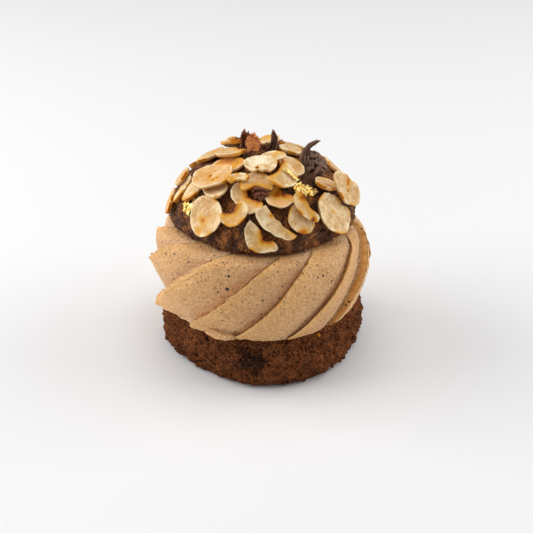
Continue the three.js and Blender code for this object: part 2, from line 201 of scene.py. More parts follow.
def curveSpot(start, end, slopeIn, slopeOut, t):
    # a spot on the smooth curve from start to end
    cubic = (2 * (start - end) + slopeIn + slopeOut) * t ** 3
    return cubic + (3 * (end - start) - 2 * slopeIn - slopeOut) * t ** 2 + slopeIn * t + start


def smoothCurve(points, steps, fineSteps=40):
    # points at equal steps along a smooth curve through the given ones
    ends = [np.array(point, float) for point in (points[0], *points, points[-1])]
    fine = []
    for a, b, c, d in zip(ends, ends[1:], ends[2:], ends[3:]):
        for t in np.linspace(0, 1, fineSteps, endpoint=False):
            fine.append(curveSpot(b, c, (c - a) / 2, (d - b) / 2, t))
    fine = np.array(fine + ends[-1:])
    reach = np.concatenate([[0], np.cumsum(np.linalg.norm(np.diff(fine, axis=0), axis=1))])
    wanted = np.linspace(0, reach[-1], steps + 1)
    return [(np.interp(s, reach, fine[:, 0]), np.interp(s, reach, fine[:, 1])) for s in wanted]


def rolled(profile, columns):
    # a grid to be rolled round Z, a row for each point of the profile; vertices keep their row and column
    bm = bmesh.new()
    rowLayer = bm.verts.layers.int.new("row")
    columnLayer = bm.verts.layers.int.new("column")
    rows = len(profile) - 1
    bmesh.ops.create_grid(bm, x_segments=columns, y_segments=rows, size=0.5)
    for vert in bm.verts:
        vert[columnLayer] = round((vert.co.x + 0.5) * columns)
        vert[rowLayer] = round((vert.co.y + 0.5) * rows)
    return bm, rowLayer, columnLayer


def normalsOf(profile):
    # outward in the profile's plane, as (radial, upward), and straight up at its last point, on the axis
    found = []
    for row in range(len(profile) - 1):
        before, after = profile[max(row - 1, 0)], profile[row + 1]
        found.append(Vector((after[1] - before[1], before[0] - after[0])).normalized())
    return found + [Vector((0, 1))]


def atBearing(bearing, radius, height):
    return Vector((radius * math.sin(bearing), -radius * math.cos(bearing), height))


def bakeMap(bm, rowLayer, columnLayer, profile, columns):
    # a map that unrolls a rolled piece
    lengths = [math.dist(a, b) for a, b in zip(profile, profile[1:])]
    reach = np.concatenate([[0], np.cumsum(lengths)]) / sum(lengths)
    layer = bm.loops.layers.uv.new("OFBake")
    for face in bm.faces:
        for loop in face.loops:
            loop[layer].uv = (loop.vert[columnLayer] / columns, reach[loop.vert[rowLayer]])


def addMarks(bm, *names):
    # values on the vertices, for the finish to read
    return {name: bm.verts.layers.float.new(name) for name in names}


def setMarks(vert, layers, values):
    for name, value in values.items():
        vert[layers[name]] = value


def resize(bm, scale):
    bmesh.ops.scale(bm, vec=(scale, scale, scale), verts=bm.verts)


def closeUp(bm):
    # doubles merged, faces outwards
    bmesh.ops.remove_doubles(bm, verts=bm.verts, dist=touching)
    bmesh.ops.recalc_face_normals(bm, faces=bm.faces)


def newVerts(grown):
    return [item for item in grown["geom"] if isinstance(item, bmesh.types.BMVert)]


def thicken(bm, thick):
    # gives a sheet a back, this far behind its front
    closeUp(bm)
    bm.normal_update()
    for vert in newVerts(bmesh.ops.extrude_face_region(bm, geom=bm.faces[:], use_keep_orig=True)):
        vert.co += vert.normal * thick
    bmesh.ops.recalc_face_normals(bm, faces=bm.faces)


def addPiece(name, bm, finish, nodes=(), smooth=True):
    resize(bm, mm)
    bm.normal_update()
    mesh = bpy.data.meshes.new(name)
    bm.to_mesh(mesh)
    bm.free()
    if smooth:
        mesh.shade_smooth()
    mesh.materials.append(finish)
    piece = bpy.data.objects.new(name, mesh)
    bpy.context.scene.collection.objects.link(piece)
    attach(piece, "root")
    if nodes:
        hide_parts(*nodes)


# choux base: a bun with a cut top

base = {
    "height": 18.3, "footRadius": 29.6, "lowRadius": 31.5, "lowHeight": 2.52, "widestRadius": 32.4,
    "widestHeight": 9, "shoulderRadius": 31.8, "shoulderDrop": 2.8, "topRadius": 30.6, "edgeDrop": 0.7,
    "flatTopRadius": 28.5,
    "flattenings": ((1.5, 2, 80), (1.2, 3, 8)),  # depth, sides, bearing
    "flattenedTo": (0.5, 0.96),  # shares of the height between which they fade
    "crags": {"depth": 0.55, "size": 9, "fineSize": 5, "fineShare": 0.5},
    # where the shoulder has sunk
    "slopes": (
        {"bearing": -88, "spread": 45, "from": 5, "to": 16, "depth": 5},
        {"bearing": -115, "spread": 22, "from": -2, "to": 9, "depth": 4.6},
    ),
    "columns": 640, "sideRows": 96, "flatRings": 5,
    "plainRadius": 20, "crumbFrom": (24, 28), "crumbAbove": 1.2,  # top and bottom are plain inside
    "lumps": ((1.1, 5.5), (1, 2.6), (0.5, 1.1), (0.25, 0.5)),  # height, size
    "pores": {"depth": 0.8, "size": 1.5, "share": 0.5, "squash": 0.6, "fineSize": 0.6, "fineDepth": 0.7},
    "cracks": {"depth": 0.6, "wide": 2, "tall": 7, "half": 0.04, "patch": 6, "patchEdge": 0.2},
    "footEdge": {"reach": 1, "height": 4, "size": 4},
    # the dark patch in front, and the darker foot
    "darkening": {
        "bearing": -6, "level": 12.5, "core": 2.5, "reach": 7.5, "ragged": ((5, 3.4), (3, 1.3)),
        "foot": 0.4, "footHeight": 6,
    },
}


def baseRows():
    height = base["height"]
    outline = [
        (base["footRadius"], 0), (base["lowRadius"], base["lowHeight"]),
        (base["widestRadius"], base["widestHeight"]),
        (base["shoulderRadius"], height - base["shoulderDrop"]),
        (base["topRadius"], height - base["edgeDrop"]), (base["flatTopRadius"], height),
    ]
    rings = [ring / base["flatRings"] for ring in range(base["flatRings"])]
    under = [(base["footRadius"] * share, 0) for share in rings]
    over = [(base["flatTopRadius"] * share, height) for share in reversed(rings)]
    return under + smoothCurve(outline, base["sideRows"]) + over


def baseReach(bearing, radius, level):
    # the side's radius with its flattenings, crags and sunken places
    share = 1 - smoothStep(level / base["height"], *base["flattenedTo"])
    x, y = radius * math.sin(bearing), radius * math.cos(bearing)
    crag = crags(x, y, level, base["crags"]) * math.sin(math.pi * level / base["height"])
    sunk = 0
    for slope in base["slopes"]:
        depth = slope["depth"] * bell(apart(math.degrees(bearing), slope["bearing"]), slope["spread"])
        sunk = max(sunk, depth * smoothStep(level, slope["from"], slope["to"]))
    return radius + share * waves(bearing, base["flattenings"]) + crag - sunk


def baseFinish():
    constants = {"Roughness": 0.9, "Specular IOR Level": 0.12}
    material, wire, shader = startFinish("choux crumb", constants)
    patch = wire.cloud(9, 3)
    tone = wire.cloud(1.1, 5, 0.75)
    grit = wire.cloud(0.5, 3, 0.8)
    # the crumb's tone, darker where the bump below is low and lighter orange where it is high: partly its own
    # colour, partly painted shade in its hollows and painted light on its lumps
    mixture = patch * 0.14 + tone * 0.36 + grit * 0.5
    brown = mixture.ramp(0.41, 0.59).mix(linear(74, 41, 22), linear(170, 99, 54))
    crumbly = grit.ramp(0.6, 0.76).mix(brown, linear(202, 120, 60))
    # painted shade: dark spots for the shade in the crumb's pores, in colour only
    poreShade = (wire.cloud(0.65, 2, 0.6).ramp(0.43, 0.35) * 0.9).mix(crumbly, linear(22, 11, 6))
    darkened = (wire.attribute("darkening") * 0.8).mix(poreShade, linear(32, 20, 15))
    # painted shade: the crumb's pits and cracks darkened, as the shade in them would be
    colour = wire.attribute("pitAndShade").mix(darkened, linear(18, 9, 5))
    height = grit + tone * 1.2
    plug(shader, {"Base Color": colour, "Normal": wire.bump(height, 0.8, 1)})
    return material


def crumbPit(place):
    # depth from 0 to 1 of the crumb's pores and upright cracks
    pore, crack = base["pores"], base["cracks"]
    tall = Vector((place.x, place.y, place.z * pore["squash"]))
    large = pores(tall, pore["size"], pore["share"])
    small = pore["fineDepth"] * pores(place, pore["size"] * pore["fineSize"], pore["share"])
    across = abs(rough(place.x / crack["wide"], place.y / crack["wide"], place.z / crack["tall"]))
    patch = smoothStep(noise.noise(place / crack["patch"]), 0, crack["patchEdge"])
    return max(large, small, crack["depth"] * (1 - smoothStep(across, 0, crack["half"])) * patch)


def darkeningAt(place, level):
    # how far the crumb is darkened, from 0 to 1: a dark patch in front, and darker towards the foot
    darkening = base["darkening"]
    middle = atBearing(math.radians(darkening["bearing"]), base["widestRadius"], darkening["level"])
    gap = (place - middle).length + lumps(place, darkening["ragged"])
    foot = darkening["foot"] * (1 - smoothStep(level, 0, darkening["footHeight"]))
    return max(1 - smoothStep(gap, darkening["core"], darkening["reach"]), foot)


def buildBase(finish):
    profile = baseRows()
    normals = normalsOf(profile)
    columns, edge = base["columns"], base["footEdge"]
    bm, rowLayer, columnLayer = rolled(profile, columns)
    layers = addMarks(bm, "pitAndShade", "darkening")
    for vert in bm.verts:
        radius, level = profile[vert[rowLayer]]
        if radius == 0:
            vert.co = (0, 0, level)
            continue
        bearing = 2 * math.pi * (vert[columnLayer] % columns) / columns
        reach = baseReach(bearing, radius, level) if radius > base["plainRadius"] else radius
        place = atBearing(bearing, reach, level)
        outside = smoothStep(radius, *base["crumbFrom"])
        onSide = smoothStep(level, 0, base["crumbAbove"]) * outside
        # how deep a pit is here, which dents the crumb and also paints shade into it
        pitAndShade = crumbPit(place)
        rise = lumps(place, base["lumps"]) - base["pores"]["depth"] * pitAndShade
        away = normals[vert[rowLayer]] * rise * onSide
        low = (1 - smoothStep(level, 0, edge["height"])) * outside
        away.x += edge["reach"] * low * rough(place.x / edge["size"], place.y / edge["size"], 0)
        place += atBearing(bearing, away.x, away.y)
        place.z = max(place.z, 0)
        vert.co = place
        setMarks(vert, layers, {"pitAndShade": pitAndShade * onSide, "darkening": darkeningAt(place, level)})
    bakeMap(bm, rowLayer, columnLayer, profile, columns)
    closeUp(bm)
    addPiece("choux_base_crumb", bm, finish, ["choux_base"])


crumbFinish = baseFinish()
buildBase(crumbFinish)
print("base built")

# praline cream: star-nozzle flutes that climb to the right

cream = {
    "footHeight": 18.6, "topHeight": 43.5, "footRadius": 32.2, "bellyRadius": 34.6, "bellyHeight": 24,
    "widestRadius": 35.8, "widestHeight": 31, "upperRadius": 35.2, "upperHeight": 36,
    "shoulderRadius": 33.2, "shoulderDrop": 2.4, "edgeRadius": 30.6, "edgeDrop": 0.5, "topRadius": 28.4,
    "innerFootRadius": 27.8, "twistLevel": 14,
    "tilt": 5.5, "tiltFrom": 0.35,  # degrees up in front, and the share of the height where it starts
    # each flute's crest bearing, twist in degrees for each millimetre along the side, depth, lip, tail,
    # sweep of its foot in degrees, and the share of its width by which its end wall is undercut
    "flutes": (
        (-84, 2.1, 3.5, 1.1, 0.3, 0, 0.045), (-53, 2.1, 3.1, 0.2, 3, 2, 0.045),
        (-20, 2.1, 2.4, 0.4, 0.4, 5, 0.05), (6, 1.8, 1.8, 0.35, -0.8, 2, 0.1),
        (37, 2.1, 3, 0.3, -1, 7, -0.08), (65, 1.9, 2.7, 0.2, -0.6, 5, 0.045),
        (96, 2, 2.9, -0.3, 0.3, 14, 0.045), (118, 2, 3, -0.2, 0.6, 4, 0.045),
        (143, 2, 3, 0.5, 0.6, 0, 0.045), (169, 2, 3, 0.6, 0.6, 0, 0.045),
        (196, 2, 3, 0.6, 0.6, 0, 0.045), (223, 2, 3, 0.6, 0.6, 0, 0.045),
        (250, 2, 3, 0.4, 0.6, 0, 0.045),
    ),
    "faceColumns": 40, "wallColumns": 8, "sideRows": 140, "flatRings": 4, "crowding": 0.75,
    "round": 1.4, "wallCurve": 0.7, "endDepth": 0.4, "fullness": 0.7,
    # what happens at a crest: its reach along the face, as a share of the flute, and the power with which
    # it fades down the wall
    # the lip and the glow below are marks for a painted highlight and a painted glow
    "crests": {
        "tear": (0.03, 3), "hang": (0.05, 2), "flare": (0.08, 2), "kick": (0.3, 1), "lip": (0.04, 4),
        "glow": (0.2, 1),
    },
    "tear": {"depth": 0.45, "size": 1.6, "fineSize": 0.75, "fineShare": 0.6, "least": 0.25},
    "tearFrom": (0.05, 0.35), "lipFrom": (-0.05, 0.15), "calmFoot": 0.1,  # shares of the way up
    "hang": {"least": 0.4, "torn": 1.1, "radius": 35},
    "kick": {"flute": 1, "reach": 3.6, "height": 0.24, "curve": 1.6},  # the second flute's foot stands out
    "hem": {"drop": 0.8, "height": 0.09, "scallops": ((1, 3.2), (0.5, 1.1))},
    "lumps": ((0.28, 7), (0.16, 2), (0.12, 0.8)),  # sway, ripple and grain: height, size
    "streaks": {"height": 0.11, "long": 11, "wide": 0.9, "degree": 0.62},  # a degree's width on the side
    # shares of the face and the wall for the painted shade in each crevice, the painted light on the hollow
    # before it and the painted glow on the wall
    "creviceShade": (0.95, 1), "hollow": (0.5, 0.95), "flankGlow": (0, 0.3),
    # large specks of roasted nut: bearing, level, radius
    "specks": (
        (-17.2, 37.1, 0.9), (-54.6, 42.7, 0.5), (-43.8, 42.2, 0.55), (-17.1, 41.8, 0.6), (-31.4, 38.6, 0.4),
        (-31.8, 32.6, 0.4), (-22.4, 36, 0.5), (30, 40.4, 0.5), (39, 37.1, 0.6), (0.5, 35.2, 0.5),
    ),
}
fluteParts = ("crest", "twist", "depth", "lip", "tail", "sweep", "undercut")
flutes = [dict(zip(fluteParts, row)) for row in cream["flutes"]]
flutes.append({**flutes[0], "crest": flutes[0]["crest"] + 360})  # the first again, to end the last


def tiltRise(y):
    return -y * math.tan(math.radians(cream["tilt"]))


def creamRows():
    # the side, with flat rings under and over it, and the number of its first row
    top = cream["topHeight"]
    outline = [
        (cream["footRadius"], cream["footHeight"]), (cream["bellyRadius"], cream["bellyHeight"]),
        (cream["widestRadius"], cream["widestHeight"]), (cream["upperRadius"], cream["upperHeight"]),
        (cream["shoulderRadius"], top - cream["shoulderDrop"]),
        (cream["edgeRadius"], top - cream["edgeDrop"]), (cream["topRadius"], top),
    ]
    rings = [ring / cream["flatRings"] for ring in range(cream["flatRings"])]
    under = [(cream["innerFootRadius"] * share, cream["footHeight"]) for share in rings + [1]]
    over = [(cream["topRadius"] * share, top) for share in reversed(rings)]
    return under + smoothCurve(outline, cream["sideRows"]) + over, len(under)


def fluteColumns():
    # where each column of a flute lies: along the face from its crest, then up the wall to the next crest
    faces = [column / (cream["faceColumns"] - 1) for column in range(cream["faceColumns"])]
    faces = [(s - cream["crowding"] * math.sin(2 * math.pi * s) / (2 * math.pi), 0) for s in faces]
    walls = [(1, (column + 1) / (cream["wallColumns"] + 1)) for column in range(cream["wallColumns"])]
    return faces + walls


def fluteSpan(flute, following, arc):
    # the bearing of a flute's crest and the flute's width, in degrees, this far along the side
    climbed = arc - cream["twistLevel"]
    swept = (max(0, -climbed) / cream["twistLevel"]) ** 2
    start, end = (one["crest"] + one["twist"] * climbed + one["sweep"] * swept for one in (flute, following))
    return start, end - start


def atCrest(what, along, wall):
    # 1 on the flute's own crest, or on the next one at the top of the wall, and less away from it
    reach, power = cream["crests"][what]
    return wall ** power if wall else fade(along, reach)


def lipTear(owner, arc, lift):
    # how a crest's lip is torn, from about -1 to 1, each in its own way and less at its foot
    tear = cream["tear"]
    torn = rough(arc / tear["size"], owner * 7.1, 0)
    torn += tear["fineShare"] * rough(arc / tear["fineSize"], owner * 3.7, 5)
    return torn * (tear["least"] + (1 - tear["least"]) * smoothStep(lift, *cream["tearFrom"]))


def crestReach(lip, owner, along, wall, lift, tear):
    # how far the side stands out for a crest's lip, and for the foot of the flute that kicks out
    torn = cream["tear"]["depth"] * tear * atCrest("tear", along, wall)
    reach = (lip * atCrest("flare", along, wall) + torn) * smoothStep(lift, *cream["lipFrom"])
    kick = cream["kick"]
    if owner == kick["flute"]:
        foot = max(0, 1 - lift / kick["height"]) ** kick["curve"]
        reach += kick["reach"] * foot * atCrest("kick", along, wall)
    return reach


def faceFall(flute, along, wall, lift):
    # how far a flute's face lies behind its crest
    share = cream["endDepth"] + (1 - cream["endDepth"]) * math.sin(math.pi * lift) ** cream["fullness"]
    return flute["depth"] * share * along ** cream["round"] * (1 - wall)


def hemDrop(flute, following, along, wall, lift, bearing):
    # how far the foot hangs down, in scallops and in a tail for each flute
    hem = cream["hem"]
    scallops = hem["drop"] * lumps(atBearing(bearing, cream["footRadius"], 0), hem["scallops"])
    tails = flute["tail"] * (1 - along) ** 3 + following["tail"] * (wall ** 3 if wall else along ** 6)
    return (tails + scallops) * max(0, 1 - lift / hem["height"])


def creamFinish(specks):
    constants = {
        "Roughness": 0.5, "Specular IOR Level": 0.3,
        "Subsurface Weight": 0.06, "Subsurface Radius": (1.0, 0.7, 0.4), "Subsurface Scale": 1 * mm,
    }
    material, wire, shader = startFinish("praline cream", constants)
    tan = wire.cloud(7, 4).ramp(0.3, 0.7).mix(linear(222, 168, 112), linear(234, 180, 126))
    # painted light: a paler, greyer tint where each face falls into shade toward the crevice, lifting that
    # shade
    grey = (wire.attribute("hollow") * 0.85).mix(tan, linear(228, 188, 146))
    # painted glow: warm light along each crest, as light through the thin cream lip gives
    crestGlow = (wire.attribute("glow") * 0.85).mix(grey, linear(255, 190, 102))
    # painted glow: orange on the end walls, for light bounced in the crevice and passing through the cream
    flankGlow = (wire.attribute("flankGlow") * 0.85).mix(crestGlow, linear(228, 152, 54))
    # painted highlight: a pale band along each crest
    crestHighlight = (wire.attribute("lip") * 0.7).mix(flankGlow, linear(255, 208, 136))
    # painted shade: a dark line in each crevice under the next crest
    creviceShadow = (wire.attribute("creviceShade") * 0.75).mix(crestHighlight, linear(116, 74, 36))
    calm = 1 - wire.attribute("flankGlow") * 0.8
    speckled = (wire.cloud(0.6, 3, 0.75).ramp(0.5, 0.62) * 0.55 * calm).mix(creviceShadow, linear(166, 112, 72))
    # pale mottling: partly the cream's uneven tone, partly painted light on its small bumps
    colour = (wire.cloud(0.8, 3, 0.8).ramp(0.46, 0.6) * 0.65 * calm).mix(speckled, linear(255, 208, 152))
    # ground nut: distance between specks, radius, share of the cells, tint
    layers = (
        (1.3, 0.26, 0.4, (164, 106, 74)), (2.1, 0.19, 0.38, (104, 60, 44)),
        (4.2, 0.13, 0.42, (60, 42, 44)),
    )
    ragged = wire.shaken(0.6, 0.3)
    for size, radius, share, tint in layers:
        chosen = wire.cells(ragged, size, "Color").ramp(share + 0.02, share)
        speck = wire.cells(ragged, size, "Distance").ramp(radius, radius * 0.5) * chosen
        colour = speck.mix(colour, linear(*tint))
    for spot, reach in specks:
        colour = wire.near(ragged, spot * mm, 0.85 * reach * mm).mix(colour, linear(76, 56, 56))
    height = (wire.cloud(0.45, 3, 0.65) * 0.7 + wire.cloud(1.1, 3, 0.6) * 1.6) * calm
    plug(shader, {"Base Color": colour, "Normal": wire.bump(height, 0.6, 1)})
    return material


def buildCream():
    profile, firstRow = creamRows()
    rowLength = math.dist(profile[firstRow], profile[firstRow + 1])
    parts = fluteColumns()
    count = len(cream["flutes"])
    columns = count * len(parts)
    hang, streaks = cream["hang"], cream["streaks"]
    bm, rowLayer, columnLayer = rolled(profile, columns)
    layers = addMarks(bm, "creviceShade", "hollow", "lip", "glow", "flankGlow")
    for vert in bm.verts:
        radius, level = profile[vert[rowLayer]]
        if radius == 0:
            vert.co = (0, 0, level)
            continue
        row = vert[rowLayer] - firstRow
        onSide = 0 <= row <= cream["sideRows"]
        lift = min(max(row / cream["sideRows"], 0), 1)
        arc = lift * cream["sideRows"] * rowLength
        number, part = divmod(vert[columnLayer] % columns, len(parts))
        along, wall = parts[part]
        flute, following = flutes[number], flutes[number + 1]
        owner = (number + 1) % count if wall else number
        lip = following["lip"] if wall else flute["lip"]
        tear = lipTear(owner, arc, lift)
        start, width = fluteSpan(flute, following, arc)
        turn = start + (along + (along - wall ** cream["wallCurve"]) * flute["undercut"]) * width
        lean = atCrest("hang", along, wall) * (hang["least"] + hang["torn"] * tear) / hang["radius"]
        bearing = math.radians(turn) - onSide * lean
        stand = crestReach(lip, owner, along, wall, lift, tear) - faceFall(flute, along, wall, lift)
        radius += onSide * stand
        height = level - onSide * hemDrop(flute, following, along, wall, lift, bearing)
        climb = (level - cream["footHeight"]) / (cream["topHeight"] - cream["footHeight"])
        height += smoothStep(climb, cream["tiltFrom"], 1) * tiltRise(-radius * math.cos(bearing))
        ripple = lumps(atBearing(bearing, radius, height), cream["lumps"])
        across = along * width * streaks["degree"] / streaks["wide"]
        ripple += streaks["height"] * rough(arc / streaks["long"], across, number)
        radius += onSide * ripple * smoothStep(lift, 0, cream["calmFoot"])
        vert.co = atBearing(bearing, radius, height)
        onFace = onSide * (1 - wall)
        setMarks(vert, layers, {
            "creviceShade": onFace * smoothStep(along, *cream["creviceShade"]),
            "hollow": onFace * smoothStep(along, *cream["hollow"]),
            "lip": onSide * atCrest("lip", along, wall), "glow": onSide * atCrest("glow", along, wall),
            "flankGlow": onSide * smoothStep(wall, *cream["flankGlow"]),
        })
    specks = []
    for bearing, level, reach in cream["specks"]:
        spot = atBearing(math.radians(bearing), cream["bellyRadius"], level)
        nearest = min(bm.verts, key=lambda vert: (vert.co - spot).length_squared)
        specks.append((nearest.co.copy(), reach))
    bakeMap(bm, rowLayer, columnLayer, profile, columns)
    closeUp(bm)
    finish = creamFinish(specks)
    addPiece("praline_cream_swirl", bm, finish, ["praline_cream"])
    return finish


pralineFinish = buildCream()
print("cream built")

# choux lid: a crackled dome, tilted up in front with the cream under it

lid = {
    "radius": 29, "rimHeight": 2, "domeHeight": 20.8, "undersideRadius": 26,
    "middle": (0.3, 1.2), "gap": 0.3,
    "rim": ((1.3, 0.5), (0.3, 1.4)),  # inset and height of the points that round the rim
    "coreHeight": 6,  # of a point well inside
    "waves": ((0.8, 4, 0), (0.35, 3, 18.5408)),  # depth, sides, bearing
    "crags": {"depth": 0.5, "size": 8, "fineSize": 5, "fineShare": 0.4}, "cragsFrom": 0.5,
    "columns": 560, "domeRows": 120, "rimRows": 8, "flatRings": 5, "flatTo": (20, 27),
    "lumps": ((0.6, 2.9), (0.42, 1.2), (0.2, 0.55)),  # height, size
    # dark: how strongly shade is painted into the cracks
    "cracks": {"depth": 0.2, "size": 5, "shake": 0.25, "shakeSize": 3, "wide": (0.02, 0.12), "dark": 0.5},
    "edge": {"reach": 0.6, "size": 1.6, "height": 1, "spread": 2.5},
}
lidX, lidY = lid["middle"]
lidPlace = Matrix.Translation((lidX, lidY, cream["topHeight"] + lid["gap"] + tiltRise(lidY)))
lidPlace = lidPlace @ Matrix.Rotation(math.radians(-cream["tilt"]), 4, "X")


def lidRadius(bearing):
    return lid["radius"] + waves(bearing, lid["waves"])


def domeSpot(radius, climb):
    return radius * math.cos(climb), lid["rimHeight"] + lid["domeHeight"] * math.sin(climb)


def lidRows():
    rings = [lid["undersideRadius"] * ring / lid["flatRings"] for ring in range(lid["flatRings"] + 1)]
    rim = [(lid["radius"] - inset, height) for inset, height in lid["rim"]]
    edge = smoothCurve([(rings[-1], 0), *rim, (lid["radius"], lid["rimHeight"])], lid["rimRows"])
    rows = lid["domeRows"]
    dome = [domeSpot(lid["radius"], math.pi / 2 * row / rows) for row in range(1, rows)]
    top = (0, lid["rimHeight"] + lid["domeHeight"])
    return [(radius, 0) for radius in rings] + edge[1:] + dome + [top]


def lidFinish():
    constants = {"Specular IOR Level": 0.32}
    material, wire, shader = startFinish("chocolate crust", constants)
    tone = wire.cloud(4.2, 5, 0.65)
    grit = wire.cloud(0.7, 4, 0.75)
    dark = grit.ramp(0.36, 0.64).mix(linear(50, 26, 10), linear(98, 54, 23))
    tan = grit.ramp(0.38, 0.68).mix(linear(116, 64, 24), linear(192, 118, 50))
    patches = (tone * 0.75 + grit * 0.25).ramp(0.45, 0.62)
    # painted shade: the cracks between the crust's plates darkened
    colour = wire.attribute("pitAndShade").mix(patches.mix(dark, tan), linear(24, 12, 7))
    roughness = 0.2 + wire.cloud(0.9, 3).ramp(0.66, 0.5) * 0.5
    height = grit + wire.cloud(1.4, 3, 0.6)
    plug(shader, {"Base Color": colour, "Roughness": roughness, "Normal": wire.bump(height, 0.55, 1)})
    return material


def lidCrack(place):
    # 1 along the lines between the crust's plates, 0 away from them
    crack = lid["cracks"]
    shake = crack["shake"] * noise.noise_vector(place / crack["shakeSize"])
    distances = noise.voronoi(place / crack["size"] + shake)[0]
    return 1 - smoothStep(distances[1] - distances[0], *crack["wide"])


def buildLid(finish):
    profile = lidRows()
    normals = normalsOf(profile)
    columns, edge = lid["columns"], lid["edge"]
    bm, rowLayer, columnLayer = rolled(profile, columns)
    layers = addMarks(bm, "pitAndShade")
    for vert in bm.verts:
        radius, height = profile[vert[rowLayer]]
        if radius == 0 and height == 0:
            vert.co = lidPlace.translation
            continue
        bearing = 2 * math.pi * (vert[columnLayer] % columns) / columns
        outward = radius * lidRadius(bearing) / lid["radius"]
        x, y = outward * math.sin(bearing), outward * math.cos(bearing)
        crag = crags(x, y, height, lid["crags"]) * smoothStep(height, 0, lid["cragsFrom"])
        slope = radius / lid["radius"]
        place = atBearing(bearing, outward + slope * crag, height + (1 - slope) * crag)
        crack = lidCrack(place)
        outside = smoothStep(radius, *lid["flatTo"])
        rim = (1 - smoothStep(abs(height - edge["height"]), 0, edge["spread"])) * outside
        rise = lumps(place, lid["lumps"]) - lid["cracks"]["depth"] * crack
        rise += edge["reach"] * rim * noise.noise(place / edge["size"])
        away = normals[vert[rowLayer]] * rise * (outside if height == 0 else 1)
        vert.co = lidPlace @ (place + atBearing(bearing, away.x, away.y))
        setMarks(vert, layers, {"pitAndShade": crack * lid["cracks"]["dark"]})
    bakeMap(bm, rowLayer, columnLayer, profile, columns)
    closeUp(bm)
    addPiece("choux_lid_crust", bm, finish, ["choux_lid"])


buildLid(lidFinish())
print("lid built")

# hazelnut slices: plates cut from the frame's own outlines, rounded and toasted

nut = {
    "voxel": 0.22, "smoothing": 2, "under": 0.92, "biteDepth": 0.45, "outlineStep": 0.35, "sharp": 0.8,
    "ragged": ((0.3, 2.2), (0.1, 0.7)),  # height, size
    "dish": 0.25, "dishFrom": (0.4, 2.4), "heart": 0.3, "warp": 0.3, "warpSize": 6,
    "stray": 0.36, "straySize": 1.5,  # how far the marks wander from their true outline
    "bite": {"toast": 1.15, "usual": 0.6, "reach": 1.2},
    "brink": {"toast": 0.8, "reach": 0.6, "size": 1.1, "from": (-0.05, 0.3)},
    # rim: reach of the painted highlight on the top edge; side: inset, reach and heights of the painted light
    # and shade on the side wall
    "rim": 0.45, "sideInset": 0.3, "sideReach": 0.5, "sideFrom": (0.1, 0.6),
    "streaks": {"turns": 15, "stray": 11.67, "from": (0.5, 2)},
    # chance looks, for slices that the picture doesn't show
    "plain": {"bite": 0.8, "amber": 0.45, "spot": 2, "spotReach": 1.1, "spotStrength": 0.4,
              "notch": (-2.6, 0.8, -1.2), "notchSpread": 26, "swell": 0.9, "swellSpread": 30},
}
